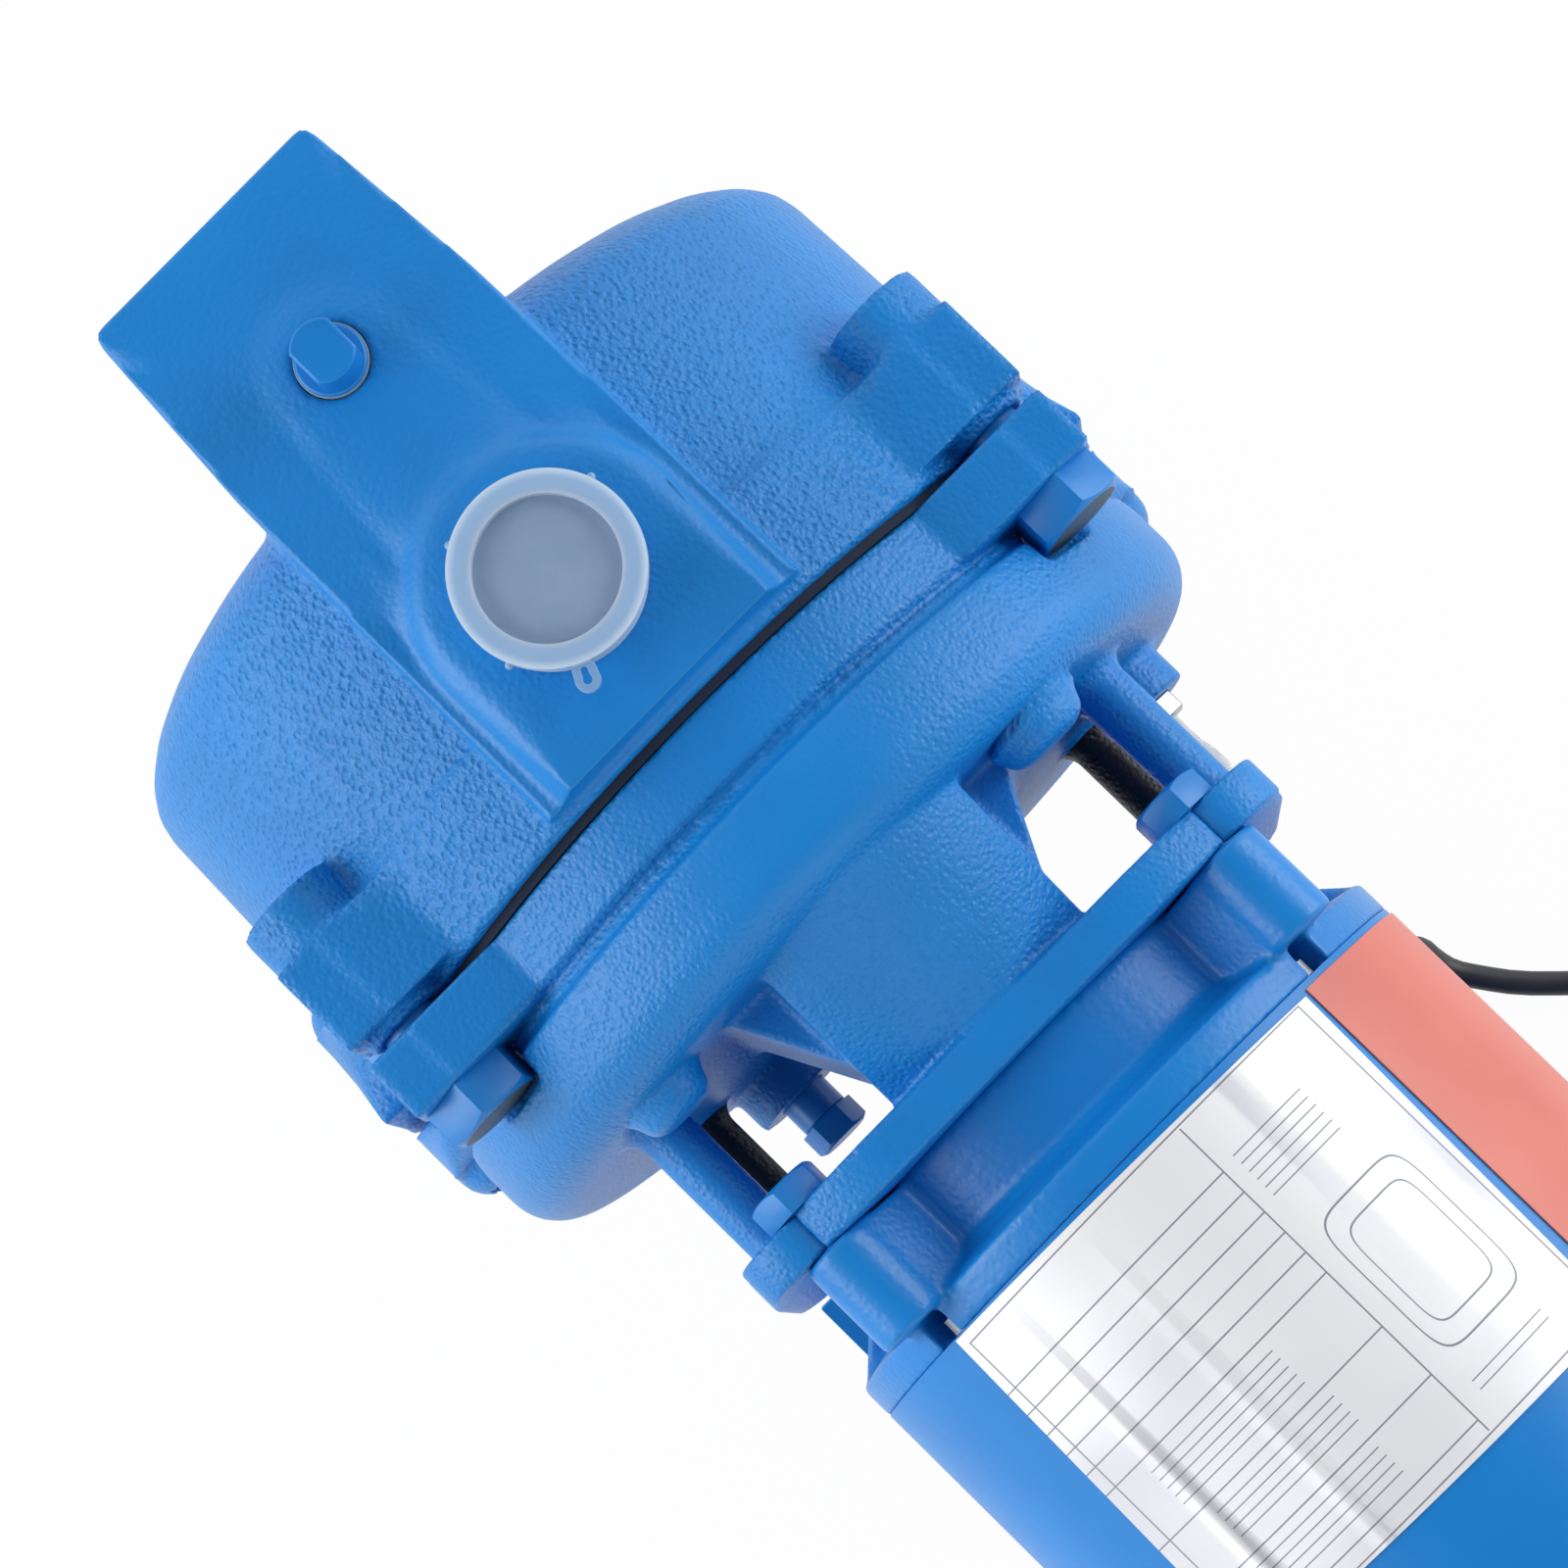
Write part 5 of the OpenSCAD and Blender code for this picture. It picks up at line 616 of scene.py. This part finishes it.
# Head, collar and thread: radius, lower and upper end, rounding, half width over flats.
for radius, low, high, edge, half_flats, paint in (
        (0.0063, 0.2140, 0.2230, 0.0007, 0.0050, bolt_paint),
        (0.0070, 0.2120, 0.2146, 0.0006, None, bolt_paint),
        (0.00728, 0.2045, 0.2138, 0.0002, None, sealant)):
    bpy.ops.object.select_all(action="DESELECT")
    bpy.ops.mesh.primitive_cylinder_add(vertices=64, radius=radius, depth=high - low,
                                        location=(priming_x, 0, (low + high)/2))
    part = bake_scale(bpy.context.object)
    for side in (-1, 1) if half_flats else ():
        edit("FACE", lambda f: True)
        bpy.ops.mesh.bisect(plane_co=(priming_x, side*half_flats, 0.218), plane_no=(0, side, 0),
                            use_fill=True, clear_outer=True)
        leave_edit()
    finish_modifier("BEVEL", width=edge, segments=3, limit_method="ANGLE",
                    angle_limit=math.radians(40))
    part.data.materials.append(paint)
    turned_parts.append(part)
priming_plug = join(turned_parts, "priming_plug_cast")
bpy.ops.object.shade_smooth_by_angle(angle=math.radians(35))
piece(priming_plug, "priming_plug_cast", "priming_plug", None, "bolt_enamel", "priming_plug")


# Discharge cap: thin milky polyethylene, moulded with a raised rim, a sunk middle, an
# ear to pull it by and three small gate marks. Its lettering is left out.
def soft_plastic(name, shade, deep, rough, clear, milk, rim_tones_and_highlights=()):
    """Thin unfilled plastic: light passes into it and comes out blurred. The optional tones
    by radius, in mm from its axis, make it paler where the moulding is thicker and add
    painted highlights along a rim's edges."""
    material, t = new_material(name)
    place = add(t, "TexCoord").outputs["Object"]
    cloud = add(t, "TexNoise", {"Scale": 180.0, "Detail": 4.0}, {"Vector": place})
    base = two_tone(t, cloud.outputs[0], 0.3, 0.7, colour(deep), colour(shade))
    if rim_tones_and_highlights:
        widest_mm = 20
        flat = add(t, "VectorMath", {"operation": "MULTIPLY_ADD", 1: (1, 1, 0), 2: (-cap_x, 0, 0)},
                   {0: place})
        radius = add(t, "VectorMath", {"operation": "LENGTH"}, {0: flat.outputs[0]})
        share = add(t, "Math", {"operation": "MULTIPLY", 1: 1000/widest_mm},
                    {0: radius.outputs["Value"]})
        ramp = add(t, "ValToRGB", links={0: share.outputs[0]})
        for radius_mm, code in rim_tones_and_highlights:
            ramp.color_ramp.elements.new(radius_mm/widest_mm).color = colour(code)
        ramp.color_ramp.elements.remove(ramp.color_ramp.elements[0])
        ramp.color_ramp.elements.remove(ramp.color_ramp.elements[-1])
        base = ramp.outputs[0]
    bump = add(t, "Bump", {"Strength": 0.3, "Distance": 0.00004}, {"Height": cloud.outputs[0]})
    lit_by(t, add(t, "BsdfPrincipled", {
        "IOR": 1.5, "Roughness": rough, "Transmission Weight": clear, "Subsurface Weight": milk,
        "Subsurface Radius": (0.6, 0.8, 1.0), "Subsurface Scale": 0.002},
        {"Base Color": base, "Normal": bump.outputs[0]}))
    return material


def plain_copy(node, soft_mm=0.0, smooth_deg=35):
    """A merged copy of a CAD node, with its sharp edges softened."""
    thing = merged_copy(node)
    bpy.ops.mesh.dissolve_limited(angle_limit=math.radians(0.5))
    leave_edit(smooth_deg)
    if soft_mm:
        finish_modifier("BEVEL", width=soft_mm/1000, segments=2, limit_method="ANGLE",
                        angle_limit=math.radians(40))
        bpy.ops.object.shade_smooth_by_angle(angle=math.radians(smooth_deg))
    return thing


cap = plain_copy("discharge_cap", 0.45, 40)
edit("VERT", lambda v: v.co.z > 0.2245 and 0.0125 < off_axis(v, cap_x) < 0.0142)
bpy.ops.transform.resize(value=(1.055, 1.055, 1), center_override=(cap_x, 0, 0.226))
edit("VERT", lambda v: off_axis(v, cap_x) > 0.0197)
bpy.ops.transform.translate(value=0.0016*level_way(-25))
leave_edit(40)
# Painted highlights: the pale bands at about 13.6 to 14.4 mm and 17.8 to 18.5 mm stand for light on
# the rim's rounded edges.
cap.data.materials.clear()
cap.data.materials.append(soft_plastic(
    "milky polyethylene", "#b9d2ec", "#a9c6e6", rough=0.33, clear=0.22, milk=0.35, rim_tones_and_highlights=(
        (13.6, "#c3d2e4"), (14.4, "#bccfe6"), (15.0, "#a8caec"), (17.0, "#a6caee"),
        (17.8, "#c2dcf6"), (18.5, "#d8eafc"), (19.1, "#8ab4de"))))
# Painted shade: the sunk middle is greyer and nearly opaque, standing in for the dark port showing
# through the thin plastic.
cap.data.materials.append(soft_plastic(
    "milky polyethylene, painted shade in the sunk middle", "#8ea6c3", "#869fbd", rough=0.38, clear=0.05, milk=0.1))
edit("FACE", lambda f: f.normal.z > 0.95 and 0.2190 < f.calc_center_median().z < 0.2255
     and (f.calc_center_median() - Vector((cap_x, 0, f.calc_center_median().z))).length < 0.0134)
bpy.context.object.active_material_index = 1
bpy.ops.object.material_slot_assign()
leave_edit(40)
gate_marks = []
for deg in (110, 210, 293):
    a = math.radians(deg)
    bpy.ops.mesh.primitive_uv_sphere_add(segments=12, ring_count=8, radius=0.0009, location=(
        cap_x + 0.0189*math.cos(a), 0.0189*math.sin(a), 0.2252))
    mark = bake_scale(bpy.context.object)
    mark.data.materials.append(cap.data.materials[0])
    gate_marks.append(mark)
join([cap] + gate_marks, "cap")
bpy.ops.object.shade_smooth_by_angle(angle=math.radians(40))
piece(cap, "cap", "discharge_cap", None, "cap_plastic", "discharge_cap")

# Drain: a short pipe nipple screwed into the adapter's wall and a hex plug in its end,
# both painted over with the casting.
piece(plain_copy("drain_nipple", 0.5), "drain_pipe", "pump", bolt_paint, "bolt_enamel",
      "drain_nipple")
drain = hex_bolt(across=0.012, head_h=0.006, shank_r=0.0036, shank_len=0.010, ends=bolt_paint)
put(drain, place=(-0.005, -0.039, 0.056))
piece(drain, "drain_screw", "drain_plug", None, "bolt_enamel", "drain_plug")

# Sensing line: a hex fitting with a hose barb, and the clear vinyl tube that carries the
# casing's pressure down to the switch.
zinc = metal("zinc-plated steel", "#b9bfc4", rough=0.34, streak_mm=0.8, lift_mm=0.02)
clear_vinyl = soft_plastic("clear vinyl", "#f4f7f9", "#dfe6ea", rough=0.16, clear=0.45, milk=0.0)
piece(plain_copy("sensing_fitting", 0.35), "pressure_fitting", "pump", zinc, "zinc_steel",
      "sensing_fitting")
piece(plain_copy("switch_tube", 0.0, 60), "pressure_tube", "pump", clear_vinyl, "clear_vinyl",
      "switch_tube")

# Motor ends: die-cast aluminium bells in the same blue, with a finer skin. The front
# bell meets the adapter's flange, and the rear one is closed by its cover.
bell_paint = enamel("blue enamel on die-cast aluminium", "#0b7ecd", grain_mm=1.3, lift_mm=0.10,
                    rough=0.36)
piece(cast_copy("front_end_bell", 0.9), "front_bell", "pump", bell_paint, "bell_enamel",
      "front_end_bell")
piece(cast_copy("rear_end_bell", 1.0), "rear_bell", "pump", bell_paint, "bell_enamel",
      "rear_end_bell")

# Motor shell: rolled and welded steel sheet between the bells, sprayed a smooth
# semi-gloss blue with hardly any skin.
shell_paint = enamel("blue enamel on rolled steel", "#0b7ecd", grain_mm=2.6, lift_mm=0.04,
                     rough=0.41)
piece(plain_copy("motor_shell", 0.25, 30), "shell", "pump", shell_paint, "motor_enamel",
      "motor_shell")

# Nameplate: satin foil label, wrapped on the shell. It carries a ruled table, plain
# lines where the print was and an empty frame; its words are left out.
foil, t = new_material("satin foil label")
place = add(t, "TexCoord").outputs["Object"]
axes = add(t, "SeparateXYZ", links={0: place})


def calc(operation, *values):
    """One step of sums on numbers or sockets; returns its socket."""
    step = t.nodes.new("ShaderNodeMath")
    step.operation = operation
    for socket, value in zip(step.inputs, values):
        if isinstance(value, (int, float)):
            socket.default_value = value
        else:
            t.links.new(value, socket)
    return step.outputs[0]


def within(value, low, high):
    return calc("COMPARE", value, (low + high)/2, (high - low)/2)


def lines(value, first, step, width, window):
    """Ruled lines at first, first + step and so on, inside a window."""
    near = calc("PINGPONG", calc("SUBTRACT", value, first), step/2)
    return calc("MULTIPLY", calc("LESS_THAN", near, width/2), window)


def band(value, edge, width):
    """One line that starts at edge."""
    return within(value, edge, edge + width)


# Places on the label in millimetres: along the shaft, and across it round the shell.
plate_r_mm, rule, hairline = 72.0, 0.34, 0.28
table_low, table_high = -60.0, 8.4
along = calc("MULTIPLY", axes.outputs["X"], 1000)
across = calc("MULTIPLY", calc("ARCTAN2", axes.outputs["Y"],
                               calc("SUBTRACT", axes.outputs["Z"], shaft_z)), plate_r_mm)
rows = calc("MULTIPLY", within(along, 66.9, 94.4), within(across, table_low, table_high))
print_lines = lines(along, 67.3, 5.35, rule, rows)
for column_x in (108.3, 121.0, 133.0):
    column = calc("MULTIPLY", band(along, column_x, rule), within(across, table_low, table_high))
    print_lines = calc("MAXIMUM", print_lines, column)
for low_x, high_x, low_y, high_y in ((96.5, 106.0, -44.0, -9.0), (110.5, 119.0, -40.0, -7.0),
                                     (123.0, 131.0, -44.0, -8.0), (66.0, 78.5, 12.0, 31.0),
                                     (127.0, 131.5, 13.0, 33.0)):
    notes = calc("MULTIPLY", within(along, low_x, high_x), within(across, low_y, high_y))
    print_lines = calc("MAXIMUM", print_lines, lines(along, low_x + 0.5, 2.1, hairline, notes))
divider = calc("MULTIPLY", band(across, table_high, rule), within(along, 55.8, 136.0))
print_lines = calc("MAXIMUM", print_lines, divider)
frame_x = calc("ABSOLUTE", calc("SUBTRACT", along, 103.8))
frame_y = calc("ABSOLUTE", calc("SUBTRACT", across, 24.7))
frame_d = calc("POWER", calc("ADD", calc("POWER", calc("DIVIDE", frame_x, 17.5), 6.0),
                             calc("POWER", calc("DIVIDE", frame_y, 11.7), 6.0)), 0.1667)
for edge, width in ((0.98, 0.025), (0.72, 0.022)):
    print_lines = calc("MAXIMUM", print_lines, band(frame_d, edge, width))
border = calc("MAXIMUM", calc("ABSOLUTE", calc("SUBTRACT", along, 95.9)),
              calc("MULTIPLY", calc("ABSOLUTE", calc("ADD", across, 4.3)), 0.84))
print_lines = calc("MAXIMUM", print_lines, band(border, 40.5, 0.35))
cloud = add(t, "TexNoise", {"Scale": 14.0, "Detail": 2.0}, {"Vector": place})
satin = two_tone(t, cloud.outputs[0], 0.42, 0.60, colour("#d3d4da"), colour("#f2f2f4"))
ink = add(t, "Mix", {"data_type": "RGBA", 7: colour("#8b909b")}, {0: print_lines, 6: satin})
skin = add(t, "TexNoise", {"Scale": 900.0, "Detail": 2.0}, {"Vector": place})
bump = add(t, "Bump", {"Strength": 0.3, "Distance": 0.00002}, {"Height": skin.outputs[0]})
lit_by(t, add(t, "BsdfPrincipled", {"Metallic": 0.25, "Roughness": 0.52}, {
    "Base Color": ink.outputs[2], "Normal": bump.outputs[0]}))
piece(plain_copy("nameplate", 0.0, 30), "name_foil", "pump", foil, "label_metal", "nameplate")

# Side label: salmon vinyl film beside the nameplate, wrapped on the shell. Its words
# and symbols are left out.
film, t = new_material("salmon vinyl film")
place = add(t, "TexCoord").outputs["Object"]
cloud = add(t, "TexNoise", {"Scale": 30.0, "Detail": 3.0}, {"Vector": place})
tint = two_tone(t, cloud.outputs[0], 0.3, 0.7, colour("#cf7062"), colour("#d87869"))
skin = add(t, "TexNoise", {"Scale": 1100.0, "Detail": 2.0}, {"Vector": place})
bump = add(t, "Bump", {"Strength": 0.3, "Distance": 0.00002}, {"Height": skin.outputs[0]})
lit_by(t, add(t, "BsdfPrincipled", {"Roughness": 0.44}, {
    "Base Color": tint, "Normal": bump.outputs[0]}))
piece(plain_copy("side_label", 0.0, 30), "side_film", "pump", film, "label_orange", "side_label")

# Motor foot: a flat steel base with upright webs, welded under the shell and painted
# with the same blue. The pump stands on it and on the casing's own foot.
foot_paint = enamel("blue enamel on welded steel", "#0b7ccb", grain_mm=2.2, lift_mm=0.06,
                    rough=0.38)
piece(plain_copy("motor_foot", 0.6), "foot", "pump", foot_paint, "bolt_enamel", "motor_foot")

# Rear cover: pressed steel cap over the governor and terminal board, sprayed like the
# shell and held by zinc-plated screws.
piece(plain_copy("rear_cover", 0.7), "end_cover", "rear_cover", shell_paint, "motor_enamel",
      "rear_cover")
piece(plain_copy("cover_screws", 0.6), "end_screws", "rear_cover", zinc, "zinc_steel",
      "cover_screws")

# Pressure switch: black moulded cover over a plastic body, and the strain relief where
# the cord comes out, tapered and ribbed so that it bends softly.
black_plastic = moulded("black moulded plastic", "#17191c", rough=0.38, grain_mm=1.1, lift_mm=0.04)
grey_plastic = moulded("grey moulded plastic", "#5c6166", rough=0.45, grain_mm=1.1, lift_mm=0.03)
piece(plain_copy("switch_cover", 1.2), "switch_case", "pump", black_plastic, "black_plastic",
      "switch_cover")
bpy.ops.object.select_all(action="DESELECT")
relief_l, collar_l = 0.0237, 0.0029
bpy.ops.mesh.primitive_cone_add(vertices=32, radius1=0.005, radius2=0.0034, depth=relief_l,
                                location=(0, 0, relief_l/2))
relief = bake_scale(bpy.context.object)
levels = [0.0034 + 0.0013*i for i in range(15)]
cut_across(levels, (0, 0, 1))
edit("VERT", lambda v: any(abs(v.co.z - z) < 1e-5 for z in levels[1::2]))
bpy.ops.transform.resize(value=(0.86, 0.86, 1), center_override=(0, 0, 0.012))
leave_edit(50)
bpy.ops.mesh.primitive_cylinder_add(vertices=32, radius=0.0039, depth=collar_l,
                                    location=(0, 0, -collar_l/2))
collar = bake_scale(bpy.context.object)
bevel(lambda e: all(v.co.z < -0.0028 for v in e.verts), 0.0004)
join([relief, collar], "cord_relief")
put(relief, turn=(-math.pi/2, 0, 0), place=(0.058, 0.0463, 0.014))
piece(relief, "cord_relief", "pump", plug_rubber, "black_rubber", "strain_relief")

# Inside: the pieces that a cut or an opened cover would show keep their CAD shapes.
# Each gets the finish of its own material.
rubber = moulded("moulded black rubber", "#16171a", rough=0.55, grain_mm=0.8, lift_mm=0.04)
steel = metal("ground steel", "#aab0b5", rough=0.28, streak_mm=0.6, lift_mm=0.01)
ivory = moulded("ivory moulded plastic", "#cfc6ae", rough=0.42, grain_mm=1.2, lift_mm=0.03)
carbon = metal("sintered carbon", "#2b2d30", rough=0.45, streak_mm=0.4, lift_mm=0.01,
               metallic=0.2)
rotor_metal = metal("cast rotor aluminium", "#8d9297", rough=0.48, streak_mm=1.2, lift_mm=0.05)
core_steel = metal("stacked steel laminations", "#6d7277", rough=0.52, streak_mm=0.5,
                   lift_mm=0.04)
copper = metal("varnished copper wire", "#a4552b", rough=0.38, streak_mm=0.8, lift_mm=0.12,
               spread=0.1, metallic=0.6)
give(brass, "nozzle")
give(black_plastic, "venturi", "diffuser", "cooling_fan")
give(ivory, "impeller", "governor_collar", "switch_lever")
give(rubber, "venturi_o_ring", "seal_seat", "slinger", "lead_grommet", "motor_lead",
     "switch_diaphragm")
give(zinc, "diffuser_screws", "seal_spring", "through_bolts", "governor", "switch_spring",
     "wave_washer")
give(steel, "shaft", "bearing_outer_rings", "bearing_inner_rings", "bearing_balls")
give(carbon, "seal_ring")
give(rotor_metal, "rotor_core")
give(core_steel, "stator_core")
give(copper, "windings")
give(grey_plastic, "terminal_board", "switch_body", "switch_plunger")
give(brass, "switch_contacts")
